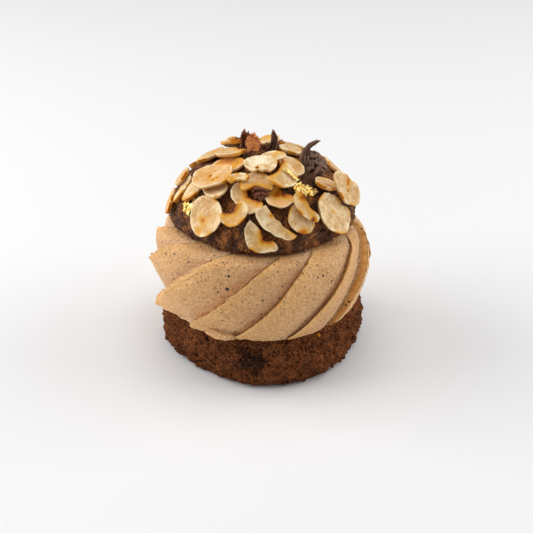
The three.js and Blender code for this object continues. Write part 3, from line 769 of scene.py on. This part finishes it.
# what marks a slice, in its own plane as the picture shows it: amber of the whole, toast along its bite,
# smudges as (right, up, reach, strength), a turn in degrees, a stretch and a shift to the right and up, and
# pushes of its outline as (bearing from the right, spread, amount)
sliceLooks = {
    1: {"amber": 0.2, "turn": -30, "stretch": (1.06, 0.97), "smudges": (
        (0, 0, 3.4, 0.2), (-1.1, -1.3, 1.2, 0.5), (0.4, 1.4, 1, -0.5), (-0.4, 0.4, 0.7, -0.35),
        (-2.5, -4.6, 1.4, 0.4),
    )},
    2: {"amber": 0.12, "bite": 1},
    3: {"amber": 0.2, "bite": 1.05},
    4: {"amber": 0.05, "bite": 1.1, "pushes": ((14, 24, -2.8), (-28, 13, 1.1))},
    5: {"amber": 0.1, "bite": 0.1, "pushes": (
        (150, 24, 2.2), (190, 24, 0.8), (108, 18, -0.7), (-75, 20, -0.5), (-10, 20, -0.6),
    ), "smudges": (
        (-1.5, 3.2, 0.8, 0.5), (-3.6, 1.2, 1.2, -0.5),
    )},
    6: {"amber": 0.15, "stretch": (0.92, 0.96), "smudges": ((0.6, -4, 1.2, 0.6),)},
    7: {"amber": 0.08, "bite": 0.2, "stretch": (1.18, 0.9), "pushes": (
        (-42, 28, 1.3), (138, 28, 1), (48, 28, -0.8), (-132, 28, -0.8),
    ), "smudges": (
        (-0.9, 0.8, 0.5, 0.3), (-0.2, 0.3, 0.5, 0.35), (0.5, -0.1, 0.5, 0.3),
    )},
    8: {"amber": 0.2},
    9: {"amber": 0.5, "bite": 0.85, "stretch": (1.15, 1.2), "pushes": ((100, 40, 1.4),), "smudges": (
        (0, 0.9, 1.3, 0.55), (-1.6, 0.8, 1.1, 0.3), (1.8, 0.3, 1.1, 0.3),
    )},
    10: {"amber": 0, "stretch": (0.8, 1.12), "smudges": ((0, 0, 2, 0.12),)},
    11: {"amber": 0.1},
    12: {"amber": 0.4, "bite": 0.3, "smudges": ((0, 1, 1, 0.3),)},
    13: {"amber": 0.2, "bite": 0.2},
    14: {"amber": 0.15, "bite": 0.6},
    15: {"amber": 0.25, "stretch": (1.05, 1.25), "shift": (0.4, 0.8), "smudges": (
        (1.2, -0.8, 1, 0.4), (-1.6, 2.4, 0.8, 0.5),
    )},
    16: {"amber": 0.05, "stretch": (1, 1.2), "shift": (1.2, -0.5), "smudges": ((2, 0.5, 1, 0.4),)},
    17: {"amber": 0.6, "smudges": ((1.4, -1, 1.1, 0.4), (3.2, 0.2, 0.9, 0.5))},
    18: {"amber": 0.25, "bite": 0.2},
    20: {"amber": 0.15, "turn": 70, "stretch": (0.8, 1), "shift": (-1.5, -1.5), "smudges": (
        (2.4, 0.4, 0.9, 0.5),
    )},
    24: {"amber": 0.2, "bite": 0.45, "pushes": ((-60, 25, -1.2),), "smudges": (
        (-1.6, 3.2, 1, 0.6), (2.4, -3, 0.9, 0.8),
    )},
    25: {"amber": 0.15, "bite": 0.2, "stretch": (1.2, 0.96), "pushes": (
        (150, 22, 2.2), (85, 25, -1.2), (218, 30, -0.8), (-42, 25, 1.2), (35, 22, -0.7),
    ), "smudges": (
        # the first smudge is painted shade: the dark hole in the middle
        (0, -0.6, 0.5, 1.5), (-0.2, 1.4, 0.8, 0.55), (-0.4, 2.8, 1.1, 0.4),
    )},
    26: {"amber": 0.05, "bite": 0.65, "pushes": ((-110, 40, 1),), "smudges": ((0, -1, 2.5, -0.3),)},
    27: {"amber": 0.38, "turn": -28, "stretch": (0.92, 1.14), "pushes": (
        (30, 24, 0.6), (150, 24, 0.5), (-48, 28, 0.9), (-112, 28, 0.8), (90, 24, -0.3),
    ), "smudges": (
        (1.6, -1.9, 0.9, 0.75), (-0.7, -0.7, 1, 0.7), (0.4, -2.7, 0.7, 0.65), (0.5, -1.4, 0.6, -0.5),
        (0.9, 2.2, 0.25, 1.6), (-0.3, 0.1, 0.25, 1.6), (2.6, 1.2, 2.6, -0.3),
    )},
    28: {"amber": 0.12, "bite": 0.2, "stretch": (1, 0.75), "smudges": (
        (-1.8, -0.5, 0.7, 0.5), (1.6, 0.4, 1, -0.4),
    )},
    29: {"amber": -0.2, "bite": 0.2, "pushes": ((-80, 18, 1.4),), "smudges": (
        # after the first, a row of smudges darkens the inner hollow: partly toast, partly painted shade
        (-0.3, 1, 5, -0.6), (-1.1, -2.5, 0.55, 1.9), (-0.8, -1.6, 0.45, 1.2),
        (0.2, -0.9, 0.5, 0.8), (1.3, -1.1, 0.5, 0.75), (2.1, -2, 0.5, 0.7),
    )},
    30: {"amber": 0.25, "stretch": (0.95, 1.6), "shift": (-0.7, -0.4), "pushes": (
        (40, 20, -1.2), (0, 14, 0.8),
    )},
    31: {"amber": 0.25, "shift": (1.2, -2), "smudges": ((0.6, 0.2, 1, 0.7),)},
    32: {"amber": 0.3, "stretch": (0.7, 1.3), "shift": (-0.3, -1), "smudges": ((-1, 1.6, 1.4, 0.3),)},
}
lidCore = lidPlace @ Vector((0, 0, lid["coreHeight"]))
pictureRight = Vector((1, 0, 0))


def nutFinish():
    constants = {
        "Roughness": 0.42, "Specular IOR Level": 0.28,
        "Subsurface Weight": 0.08, "Subsurface Radius": (1.0, 0.75, 0.4), "Subsurface Scale": 1 * mm,
    }
    material, wire, shader = startFinish("roasted nut", constants)
    tone = wire.cloud(5, 2)
    grain = wire.cloud(0.6, 3, 0.6)
    lines = wire.maths("SINE", wire.attribute("inward") * 4 + tone * 24) * 0.5 + 0.5
    folds = wire.cloud(2.2, 4, 0.6)
    mottle = tone * 0.35 + folds * 0.5 + lines * 0.045 + wire.attribute("streak") * 0.05
    pale = mottle.ramp(0.36, 0.6).mix(linear(252, 226, 180), linear(196, 148, 84))
    heart = (wire.attribute("inward").ramp(0.5, 1.5) * 0.35).mix(pale, linear(208, 166, 106))
    amber = (wire.attribute("amber") + (tone - 0.5) * 0.5).ramp(0, 1).mix(heart, linear(234, 156, 58))
    # painted highlight: a pale band along the top edge of each slice
    rim = (wire.attribute("rim") * 0.75).mix(amber, linear(255, 236, 192))
    # painted light and shade: the side wall golden, for light through the thin nut and the shade under it
    side = (wire.attribute("side") * 0.85).mix(rim, linear(222, 156, 62))
    toast = wire.attribute("toast") + (grain - 0.5) * 0.3
    bleached = toast.ramp(-0.1, -0.7).mix(side, linear(255, 238, 206))
    honey = toast.ramp(0.02, 0.35).mix(bleached, linear(228, 168, 62))
    golden = toast.ramp(0.3, 0.7).mix(honey, linear(196, 110, 0))
    colour = toast.ramp(0.65, 1.1).mix(golden, linear(80, 34, 2))
    height = grain * 0.5 + folds * 1.5 + wire.attribute("streak") * 0.12
    plug(shader, {"Base Color": colour, "Normal": wire.bump(height, 0.3, 0.7)})
    return material


def platePlan(node):
    # the plate's upper outline in its own plane, its thickness, and the matrix of that plane
    bm = bmesh.new()
    bm.from_mesh(node.data)
    resize(bm, 1 / mm)
    bmesh.ops.remove_doubles(bm, verts=bm.verts, dist=touching)
    bmesh.ops.dissolve_limit(bm, angle_limit=math.radians(1), verts=bm.verts, edges=bm.edges)
    largest = sorted(bm.faces, key=lambda face: face.calc_area())[-2:]
    lower, upper = sorted(largest, key=lambda face: face.normal.dot(face.calc_center_median() - lidCore))
    normal = upper.normal.copy()
    middle = sum((vert.co for vert in upper.verts), Vector()) / len(upper.verts)
    thick = abs((lower.calc_center_median() - middle).dot(normal))
    across = (pictureRight - normal * pictureRight.dot(normal)).normalized()
    up = normal.cross(across)
    plane = Matrix((across, up, normal)).transposed().to_4x4()
    plane.translation = middle
    flat = [Vector(((vert.co - middle).dot(across), (vert.co - middle).dot(up))) for vert in upper.verts]
    bm.free()
    return flat, thick, plane


def roundedOutline(flat):
    # the outline with soft curves between its corners
    count = len(flat)
    points = []
    for index in range(count):
        a, b, c, d = (flat[(index + shift) % count] for shift in (-1, 0, 1, 2))
        sharpIn = (b - a).angle(c - b) > nut["sharp"]
        sharpOut = (c - b).angle(d - c) > nut["sharp"]
        slopeIn = (c - b) if sharpIn else (c - a) / 2
        slopeOut = (c - b) if sharpOut else (d - b) / 2
        steps = max(1, round((c - b).length / nut["outlineStep"]))
        points += [curveSpot(b, c, slopeIn, slopeOut, part / steps) for part in range(steps)]
    return points


def distanceTo(spots, segments, farAway=99.0):
    # each spot's distance to the nearest of the segments
    if not len(segments):
        return np.full(len(spots), farAway)
    starts, ends = segments[:, 0], segments[:, 1]
    run = ends - starts
    share = ((spots[:, None] - starts) * run).sum(2) / np.maximum((run ** 2).sum(1), 1e-9)
    nearest = starts + np.clip(share, 0, 1)[:, :, None] * run
    return np.linalg.norm(spots[:, None] - nearest, axis=2).min(1)


def remeshed(bm, voxel):
    # an even mesh over the shape
    mesh = bpy.data.meshes.new("plate")
    bm.to_mesh(mesh)
    bm.free()
    plate = bpy.data.objects.new("plate", mesh)
    bpy.context.scene.collection.objects.link(plate)
    modifier = plate.modifiers.new("even", "REMESH")
    modifier.mode = "VOXEL"
    modifier.voxel_size = voxel
    made = bmesh.new()
    made.from_object(plate, bpy.context.evaluated_depsgraph_get())
    bpy.data.objects.remove(plate)
    bpy.data.meshes.remove(mesh)
    return made


def plainLook(index):
    plain = nut["plain"]
    chance = random.Random(index)
    spot = (
        chance.uniform(-plain["spot"], plain["spot"]), chance.uniform(-plain["spot"], plain["spot"]),
        plain["spotReach"], plain["spotStrength"],
    )
    pushes = (
        (chance.uniform(-180, 180), plain["notchSpread"], chance.choice(plain["notch"])),
        (chance.uniform(-180, 180), plain["swellSpread"], plain["swell"]),
    )
    amber = chance.uniform(0, plain["amber"])
    return {"amber": amber, "bite": plain["bite"], "smudges": (spot,), "pushes": pushes}


def shaped(outline, look, index):
    # the outline turned, stretched, pushed and shifted as its look says, with a ragged edge
    turned = Matrix.Rotation(math.radians(look.get("turn", 0)), 2)
    right, up = look.get("stretch", (1, 1))
    shift = Vector(look.get("shift", (0, 0)))
    made = []
    for point in outline:
        spot = turned @ Vector((point.x * right, point.y * up))
        push = lumps(Vector((spot.x, spot.y, index * 7.3)), nut["ragged"])
        angle = math.degrees(math.atan2(spot.y, spot.x))
        for bearing, spread, amount in look.get("pushes", ()):
            push += amount * bell(apart(angle, bearing), spread)
        made.append(spot + spot.normalized() * push + shift)
    return made


def edgesOf(outline):
    # the outline's segments in two lists: those on its convex hull, and those of a bite or a straight cut
    points = np.array([tuple(point) for point in outline])
    hull = points[geometry.convex_hull_2d(outline)]
    ends = np.stack([hull, np.roll(hull, -1, axis=0)], axis=1)
    away = distanceTo(points, ends) > nut["biteDepth"]
    segments = np.stack([points, np.roll(points, -1, axis=0)], axis=1)
    return segments[~away], segments[away]


def slicePlate(outline, thick):
    # a plate under the outline, narrower below, as an even mesh with soft edges
    narrow = nut["under"]
    bm = bmesh.new()
    under = [bm.verts.new((point.x * narrow, point.y * narrow, -thick)) for point in outline]
    raised = newVerts(bmesh.ops.extrude_face_region(bm, geom=[bm.faces.new(under)]))
    bmesh.ops.translate(bm, vec=(0, 0, thick), verts=raised)
    bmesh.ops.scale(bm, vec=(1 / narrow, 1 / narrow, 1), verts=raised)
    bmesh.ops.recalc_face_normals(bm, faces=bm.faces)
    bm = remeshed(bm, nut["voxel"])
    axes = {"use_axis_x": True, "use_axis_y": True, "use_axis_z": True}
    for turn in range(nut["smoothing"]):
        bmesh.ops.smooth_vert(bm, verts=bm.verts, factor=0.5, **axes)
    return bm


def sliceMarks(place, look, index, thick, outerGap, innerGap):
    # what the finish reads at a place, and how deep a smudge is there
    bite, brink, streaks = nut["bite"], nut["brink"], nut["streaks"]
    stray = nut["stray"] * rough(place.x / nut["straySize"], place.y / nut["straySize"], index * 5.1)
    smudge = 0
    for x, y, reach, strength in look.get("smudges", ()):
        smudge += strength * bell(math.hypot(place.x - x, place.y - y) + stray * reach, reach)
    toast = bite["toast"] * look.get("bite", bite["usual"])
    toast *= fade(max(innerGap + stray, 0), bite["reach"])
    heading = math.atan2(place.y, place.x)
    ring = rough(brink["size"] * math.cos(heading), brink["size"] * math.sin(heading), index * 3.3)
    toast += smudge + brink["toast"] * fade(outerGap, brink["reach"]) * smoothStep(ring, *brink["from"])
    fan = math.sin(streaks["turns"] * heading + streaks["stray"] * stray)
    onSide = bell(max(outerGap - nut["sideInset"], 0), nut["sideReach"])
    marks = {
        "rim": bell(outerGap, nut["rim"]), "inward": outerGap, "toast": toast, "amber": look["amber"],
        "side": onSide * smoothStep(-place.z / thick, *nut["sideFrom"]),
        "streak": 0.5 + 0.5 * fan * smoothStep(place.xy.length, *streaks["from"]),
    }
    return marks, smudge


def buildSlice(name, node, finish, index):
    look = sliceLooks.get(index) or plainLook(index)
    flat, thick, plane = platePlan(node)
    outline = shaped(roundedOutline(flat), look, index)
    bm = slicePlate(outline, thick)
    spots = np.array([vert.co[:2] for vert in bm.verts])
    toOuter, toInner = (distanceTo(spots, segments) for segments in edgesOf(outline))
    layers = addMarks(bm, "rim", "inward", "side", "streak", "toast", "amber")
    for vert, outerGap, innerGap in zip(bm.verts, toOuter, toInner):
        place = vert.co.copy()
        marks, smudge = sliceMarks(place, look, index, thick, outerGap, innerGap)
        setMarks(vert, layers, marks)
        dish = nut["dish"] * smoothStep(outerGap, *nut["dishFrom"]) + nut["heart"] * max(min(smudge, 1), 0)
        warp = rough(place.x / nut["warpSize"], place.y / nut["warpSize"], index * 9.7)
        vert.co.z += nut["warp"] * warp - dish * smoothStep(place.z, -thick, 0)
    bmesh.ops.transform(bm, matrix=plane, verts=bm.verts)
    bmesh.ops.recalc_face_normals(bm, faces=bm.faces)
    addPiece(name, bm, finish, [node.name])


sliceFinish = nutFinish()
sliceNodes = sorted(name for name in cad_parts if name.startswith("hazelnut_slice"))
for index, nodeName in enumerate(sliceNodes):
    buildSlice(nodeName.replace("slice", "cut"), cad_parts[nodeName], sliceFinish, index + 1)
print("slices built:", len(sliceNodes))

# dried husk: torn and curled scales

husk = {
    "thick": 0.25, "facing": (0.1, -0.95, 0.4), "acrossParts": 36, "alongParts": 30, "waist": 0.55,
    "crinkleSize": 0.9, "tatters": 1.6,
    # what a scale has where it says nothing else
    "usual": {"torn": 0.2, "blunt": 2.2, "cup": 0.15, "fold": 0.08, "ridges": 7, "crinkle": 0.24},
    "roots": {1: (-2.3, 6.7, 66.3), 2: (16, -1, 62.9), 3: (-0.2, -19.9, 64)},
}
# each scale's line of root, middle and tip from its scrap's root, how wide it is, the shares of that width
# at root and tip, how square and how torn its end is, how it cups and folds, and its tone from grey to orange
splinter = {"wide": 1.5, "spread": (1, 0.6), "torn": 0.4, "tone": 0.3}
scraps = {
    1: (
        {"line": ((-0.6, -1.2, -0.8), (-0.4, -0.7, 2), (-0.3, 0.9, 4.2)), "wide": 4.6, "spread": (0.8, 1),
         "blunt": 24, "torn": 0.28, "cup": 0.8, "tone": 1},
        {"line": ((-2.4, -0.6, -0.2), (-3.8, -0.4, 2.6), (-3.2, 0.2, 5.4)), "wide": 2.6, "spread": (1, 0.8),
         "blunt": 12, "torn": 0.45, "fold": 0.3, "tone": 0.35},
        {**splinter, "line": ((-1.7, 0, 1), (-1.9, 0, 2.6), (-1.8, 0.2, 4.6)), "wide": 1.4, "tone": 0.4},
        {"line": ((-4, -0.8, 1.6), (-1, -2.3, -2.8), (4.4, -1, -0.2)), "wide": 2.2, "spread": (0.8, 0.8),
         "blunt": 14, "torn": 0.6, "fold": 0.3, "tone": 0.2},
        {**splinter, "line": ((1.9, -1.3, -1.2), (1.8, -1.7, 0.2), (2.1, -1.2, 1.2))},
        {**splinter, "line": ((3, -1.1, -1.2), (2.9, -1.5, 0.3), (3.4, -1, 1.6))},
        {"line": ((2.4, -0.9, -1.5), (6.8, -1.2, -0.4), (5.9, 0, 4.6)), "wide": 3.4, "spread": (0.8, 0.65),
         "blunt": 16, "torn": 0.22, "cup": 0.4, "fold": 0.2, "tone": 0.15},
        {"line": ((-4.8, -1.6, -3.5), (-3.2, -1.9, -2), (-0.8, -1.4, -1.8)), "wide": 1.8,
         "blunt": 4, "torn": 0.3, "tone": 0.1},
    ),
    2: (
        {"line": ((-2.6, -2, -1.8), (-0.8, -2.4, 1.6), (1, -0.8, 4.2)), "wide": 9.6, "spread": (0.25, 1),
         "blunt": 24, "torn": 0.42, "fold": 0.75, "ridges": 9, "crinkle": 0.2, "tone": 0},
        {"line": ((-2, -3.2, -2.2), (-0.2, -3.8, 0.4), (1.6, -2, 2)), "wide": 7.6, "spread": (0.3, 1),
         "blunt": 24, "torn": 0.45, "fold": 0.65, "crinkle": 0.2, "tone": 0.03},
        {"line": ((-2.6, -2.6, -1.4), (-4, -2.2, 2), (-2.6, -0.8, 5.2)), "wide": 2.8, "spread": (0.8, 0.9),
         "blunt": 14, "torn": 0.35, "fold": 0.5, "tone": 0.02},
        {"line": ((-3, -1.6, 3), (-3.2, -0.6, 7.2), (0, 0, 8.8)), "wide": 2.2, "spread": (1, 0.6),
         "blunt": 14, "torn": 0.5, "fold": 0.5, "tone": 0.04},
    ),
    3: (
        {"line": ((-2.4, 0.4, -0.4), (-0.4, -0.4, 1), (2.4, 0.4, 0.6)), "wide": 3.2,
         "blunt": 5, "torn": 0.4, "fold": 0.3, "tone": 0.34},
        {"line": ((-1.6, -0.3, -1.2), (0.4, -0.9, -0.6), (2, -0.4, -0.6)), "wide": 2,
         "blunt": 4, "torn": 0.4, "fold": 0.2, "tone": 0.4},
    ),
}


def huskFinish():
    constants = {"Roughness": 0.6, "Specular IOR Level": 0.3}
    material, wire, shader = startFinish("dried husk", constants)
    cloud = wire.cloud(1.6, 4)
    tone = wire.attribute("tone") + (cloud - 0.5) * 0.35
    grey = cloud.ramp(0.4, 0.62).mix(linear(54, 37, 29), linear(126, 96, 78))
    maroon = tone.ramp(0.05, 0.4).mix(grey, linear(92, 42, 26))
    # the cup's orange, partly its own colour and partly painted light: made brighter for the light it catches
    orange = tone.ramp(0.45, 1.1).mix(maroon, linear(246, 160, 92))
    # painted shade: dark where the folds dip, below 0 on the edge mark
    foldShade = wire.attribute("edge").ramp(0, -0.6).mix(orange, linear(26, 17, 14))
    # painted highlight: lighter on the fold ridges and along the torn edges
    edgeHighlight = tone.ramp(0.05, 0.3).mix(linear(160, 124, 102), linear(200, 134, 90))
    colour = (wire.attribute("edge") * 0.5).mix(foldShade, edgeHighlight)
    plug(shader, {"Base Color": colour, "Normal": wire.bump(wire.cloud(0.5, 3), 0.2, 0.7)})
    return material


def scaleHalf(scale, u, t, seed):
    # half a scale's width this far along it, with tattered sides
    half = husk["waist"] + (1 - husk["waist"]) * math.sin(math.pi * min(t * 1.25, 1))
    if "spread" in scale:
        first, last = scale["spread"]
        half = first + (last - first) * t
    side = math.copysign(3, u)
    tatters = rough(t * 5, side, seed) + 0.5 * rough(t * 14, side, seed)  # coarse and fine
    half *= scale["wide"] / 2 * (1 - t ** scale["blunt"])
    return half * (1 + husk["tatters"] * scale["torn"] * tatters)


def addScale(bm, layers, settings, seed):
    scale = {**husk["usual"], **settings}
    root, middle, tip = (Vector(spot) for spot in scale["line"])
    facing = Vector(husk["facing"])
    grid = bmesh.ops.create_grid(bm, x_segments=husk["acrossParts"], y_segments=husk["alongParts"], size=1)
    for vert in grid["verts"]:
        u, t = vert.co.x, (vert.co.y + 1) / 2
        ragged = rough(u * 2.3, seed, 0) + 0.7 * rough(u * 7, seed, 2)  # coarse and fine
        reach = t * (1 + scale["torn"] * ragged)
        spine = root * (1 - reach) ** 2 + middle * (2 * reach * (1 - reach)) + tip * reach ** 2
        heading = ((middle - root) * (1 - reach) + (tip - middle) * reach).normalized()
        across = heading.cross(facing).normalized()
        outward = across.cross(heading)
        wave = math.sin(u * scale["ridges"] + 0.7 * rough(t * 3, u * 2, seed))
        bend = scale["cup"] * u * u + scale["fold"] * wave
        place = spine + across * u * scaleHalf(scale, u, t, seed) + outward * bend
        crinkle = noise.noise_vector(place / husk["crinkleSize"] + Vector((seed, 0, 0)))
        vert.co = place + scale["crinkle"] * crinkle
        ridge = min(1.4 * settings.get("fold", 0), 1) * wave
        # the edge mark carries the painted highlight on ridges and edges, and the painted shade in the fold
        # valleys
        setMarks(vert, layers, {"tone": scale["tone"], "edge": max(abs(u) ** 6, t ** 10, ridge)})


def scalesMesh(scales, thick, seed):
    bm = bmesh.new()
    layers = addMarks(bm, "tone", "edge")
    for count, settings in enumerate(scales):
        addScale(bm, layers, settings, seed + count * 3.7)
    thicken(bm, thick)
    return bm


def buildHusk(number, finish):
    bm = scalesMesh(scraps[number], husk["thick"], number * 11.3)
    bmesh.ops.translate(bm, vec=husk["roots"][number], verts=bm.verts)
    addPiece(f"husk_scrap_{number}", bm, finish, [f"husk_{number}"])


scrapFinish = huskFinish()
for number in scraps:
    buildHusk(number, scrapFinish)
print("husks built")

# gold leaf: crumpled flecks on the lid and on one slice

gold = {
    "thick": 0.1, "lift": 0.5, "crumple": 0.55, "crumpleSize": 0.7, "fineSize": 0.35, "ragged": 0.5,
    "parts": 12,
    # bearing and climb on the dome, radius and stretch
    "flecks": (
        (-59, 21, 1.7, 1), (-55, 25, 1, 2), (-63, 22, 0.8, 1),
        (33, 47, 1.7, 1.1), (31, 43, 1, 1), (40, 43, 1.9, 1), (44, 40, 1.2, 1.4), (37, 41, 0.9, 1),
    ),
    "onSlice": {
        "node": "hazelnut_slice_26", "shift": (2.2, 0.4, 0), "turn": -35, "radius": 1.5, "stretch": 1.8,
        "seed": 20,
    },
}


def goldFinish():
    constants = {"Metallic": 1, "Roughness": 0.28}
    material, wire, shader = startFinish("gold leaf", constants)
    colour = wire.cloud(0.8, 3).ramp(0.35, 0.6).mix(linear(248, 186, 62), linear(255, 240, 168))
    plug(shader, {"Base Color": colour})
    return material


def domeFrame(bearing, climb):
    # a frame on the lid's crust, its Z pointing outwards
    radius = lidRadius(bearing)
    place = atBearing(bearing, *domeSpot(radius, climb))
    normal = atBearing(bearing, math.cos(climb) / radius, math.sin(climb) / lid["domeHeight"])
    return lidPlace @ Matrix.Translation(place) @ normal.to_track_quat("Z", "Y").to_matrix().to_4x4()


def addFleck(bm, matrix, radius, stretch, seed):
    grid = bmesh.ops.create_grid(bm, x_segments=gold["parts"], y_segments=gold["parts"], size=1)
    for vert in grid["verts"]:
        ragged = 1 + gold["ragged"] * rough(vert.co.x * 1.6, vert.co.y * 1.6, seed)
        flat = Vector((vert.co.x * stretch, vert.co.y / stretch, 0)) * radius * ragged
        crumple = noise.noise(Vector((flat.x, flat.y, seed * 3.1)) / gold["crumpleSize"])
        crumple += 0.5 * noise.noise(Vector((flat.x, flat.y, seed * 5.3)) / gold["fineSize"])
        vert.co = matrix @ (flat + Vector((0, 0, gold["lift"] + gold["crumple"] * crumple)))


def buildGold(finish):
    bm = bmesh.new()
    for count, (bearing, climb, radius, stretch) in enumerate(gold["flecks"]):
        matrix = domeFrame(math.radians(bearing), math.radians(climb)) @ Matrix.Rotation(count * 2.1, 4, "Z")
        addFleck(bm, matrix, radius, stretch, count + 1)
    fleck = gold["onSlice"]
    plane = platePlan(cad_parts[fleck["node"]])[2]
    slant = Matrix.Translation(fleck["shift"]) @ Matrix.Rotation(math.radians(fleck["turn"]), 4, "Z")
    addFleck(bm, plane @ slant, fleck["radius"], fleck["stretch"], fleck["seed"])
    thicken(bm, gold["thick"])
    addPiece("gold_flecks", bm, finish, smooth=False)


buildGold(goldFinish())
print("gold built")

# crumbs that stick to the base

crumbs = {
    "count": 150, "sizes": (0.22, 0.55), "levels": (0.8, 17), "seed": 7, "proud": 0.1, "knobbly": 0.5,
    # bearing, level, radius
    "large": ((-80, 15, 0.8), (-76, 14, 0.6), (72, 5, 0.8), (55, 1.4, 0.8), (48, 1, 0.6), (26, 0.8, 0.7)),
}


def buildCrumbs(finish):
    rings = base["flatRings"]
    radii, heights = zip(*baseRows()[rings:-rings])
    chance = random.Random(crumbs["seed"])
    spots = list(crumbs["large"])
    for count in range(crumbs["count"]):
        bearing = chance.uniform(0, 360)
        level = chance.uniform(*crumbs["levels"])
        spots.append((bearing, level, chance.uniform(*crumbs["sizes"])))
    bm = bmesh.new()
    for bearing, level, size in spots:
        turn = math.radians(bearing)
        reach = baseReach(turn, np.interp(level, heights, radii), level) + crumbs["proud"] * size
        place = atBearing(turn, reach, level)
        for vert in bmesh.ops.create_icosphere(bm, subdivisions=1, radius=size)["verts"]:
            knobs = noise.noise_vector(place + vert.co / size)
            vert.co = place + vert.co + crumbs["knobbly"] * size * knobs
    addPiece("choux_crumbs", bm, finish)


buildCrumbs(crumbFinish)
print("crumbs built")

# a folded tail at the cream's hem, and a nib of nut under it

tail = {
    "route": ((-32, 33.2, 20.8), (-23, 35, 20), (-15.5, 33.8, 20.5)),  # bearing, radius, level
    "wide": 2, "blunt": 4, "torn": 0.15, "cup": -0.3, "crinkle": 0.1, "tone": 0, "thick": 0.7, "seed": 5.5,
}
nib = {"bearing": 33.7, "radius": 32.3, "level": 17.6, "size": 0.55, "knobbly": 0.5, "toast": 0.6}


def buildTail(finish):
    line = [atBearing(math.radians(bearing), radius, level) for bearing, radius, level in tail["route"]]
    bm = scalesMesh([{**tail, "line": line}], tail["thick"], tail["seed"])
    addPiece("praline_cream_tail", bm, finish)


def buildNib(finish):
    bm = bmesh.new()
    layers = addMarks(bm, "toast")
    place = atBearing(math.radians(nib["bearing"]), nib["radius"], nib["level"])
    for vert in bmesh.ops.create_icosphere(bm, subdivisions=2, radius=nib["size"])["verts"]:
        setMarks(vert, layers, {"toast": nib["toast"]})
        vert.co = place + vert.co + nib["knobbly"] * nib["size"] * noise.noise_vector(vert.co / nib["size"])
    addPiece("nut_nib", bm, finish)


buildTail(pralineFinish)
buildNib(sliceFinish)
print("tail and nib built")

# stage, in metres

view = {
    "place": (0.0015, -0.33329, 0.22619), "lens": 79.6, "sensor": 36,
    "tip": 59.08,  # degrees up from looking straight down
}
studio = {
    "sky": 0.35, "floor": (0.83, 0.83, 0.835, 1), "floorReach": 3, "floorDrop": 0.0001, "aim": (0, 0, 0.04),
    "lights": {
        "top": {"energy": 2.1, "size": 0.7, "place": (0.03, 0.05, 0.78)},
        "right": {"energy": 2.6, "size": 0.6, "place": (0.62, 0.08, 0.36)},
        "left": {"energy": 4, "size": 0.6, "place": (-0.62, 0.04, 0.36)},
    },
}


def buildFloor():
    bm = bmesh.new()
    bmesh.ops.create_grid(bm, x_segments=1, y_segments=1, size=studio["floorReach"])
    mesh = bpy.data.meshes.new("floor")
    bm.to_mesh(mesh)
    bm.free()
    mesh.materials.append(startFinish("pale floor", {"Base Color": studio["floor"], "Roughness": 0.9})[0])
    floor = bpy.data.objects.new("floor", mesh)
    floor.location.z = -studio["floorDrop"]
    bpy.context.scene.collection.objects.link(floor)


def addLight(name, settings):
    data = bpy.data.lights.new(name, "AREA")
    data.energy = settings["energy"]
    data.size = settings["size"]
    light = bpy.data.objects.new(name, data)
    place = Vector(settings["place"])
    light.location = place
    light.rotation_euler = (Vector(studio["aim"]) - place).to_track_quat("-Z", "Y").to_euler()
    bpy.context.scene.collection.objects.link(light)


def buildSky():
    world = bpy.data.worlds.new("studio")
    world.use_nodes = True
    sky = world.node_tree.nodes["Background"].inputs
    sky["Color"].default_value = (1, 1, 1, 1)
    sky["Strength"].default_value = studio["sky"]
    bpy.context.scene.world = world
    bpy.context.scene.view_settings.view_transform = "Standard"


def buildView():
    data = bpy.data.cameras.new("camera")
    data.lens = view["lens"]
    data.sensor_width = view["sensor"]
    camera = bpy.data.objects.new("camera", data)
    camera.location = view["place"]
    camera.rotation_euler = (math.radians(view["tip"]), 0, 0)
    bpy.context.scene.collection.objects.link(camera)
    bpy.context.scene.camera = camera


buildFloor()
for lightName, lightSettings in studio["lights"].items():
    addLight(lightName, lightSettings)
buildSky()
buildView()
print("stage set")
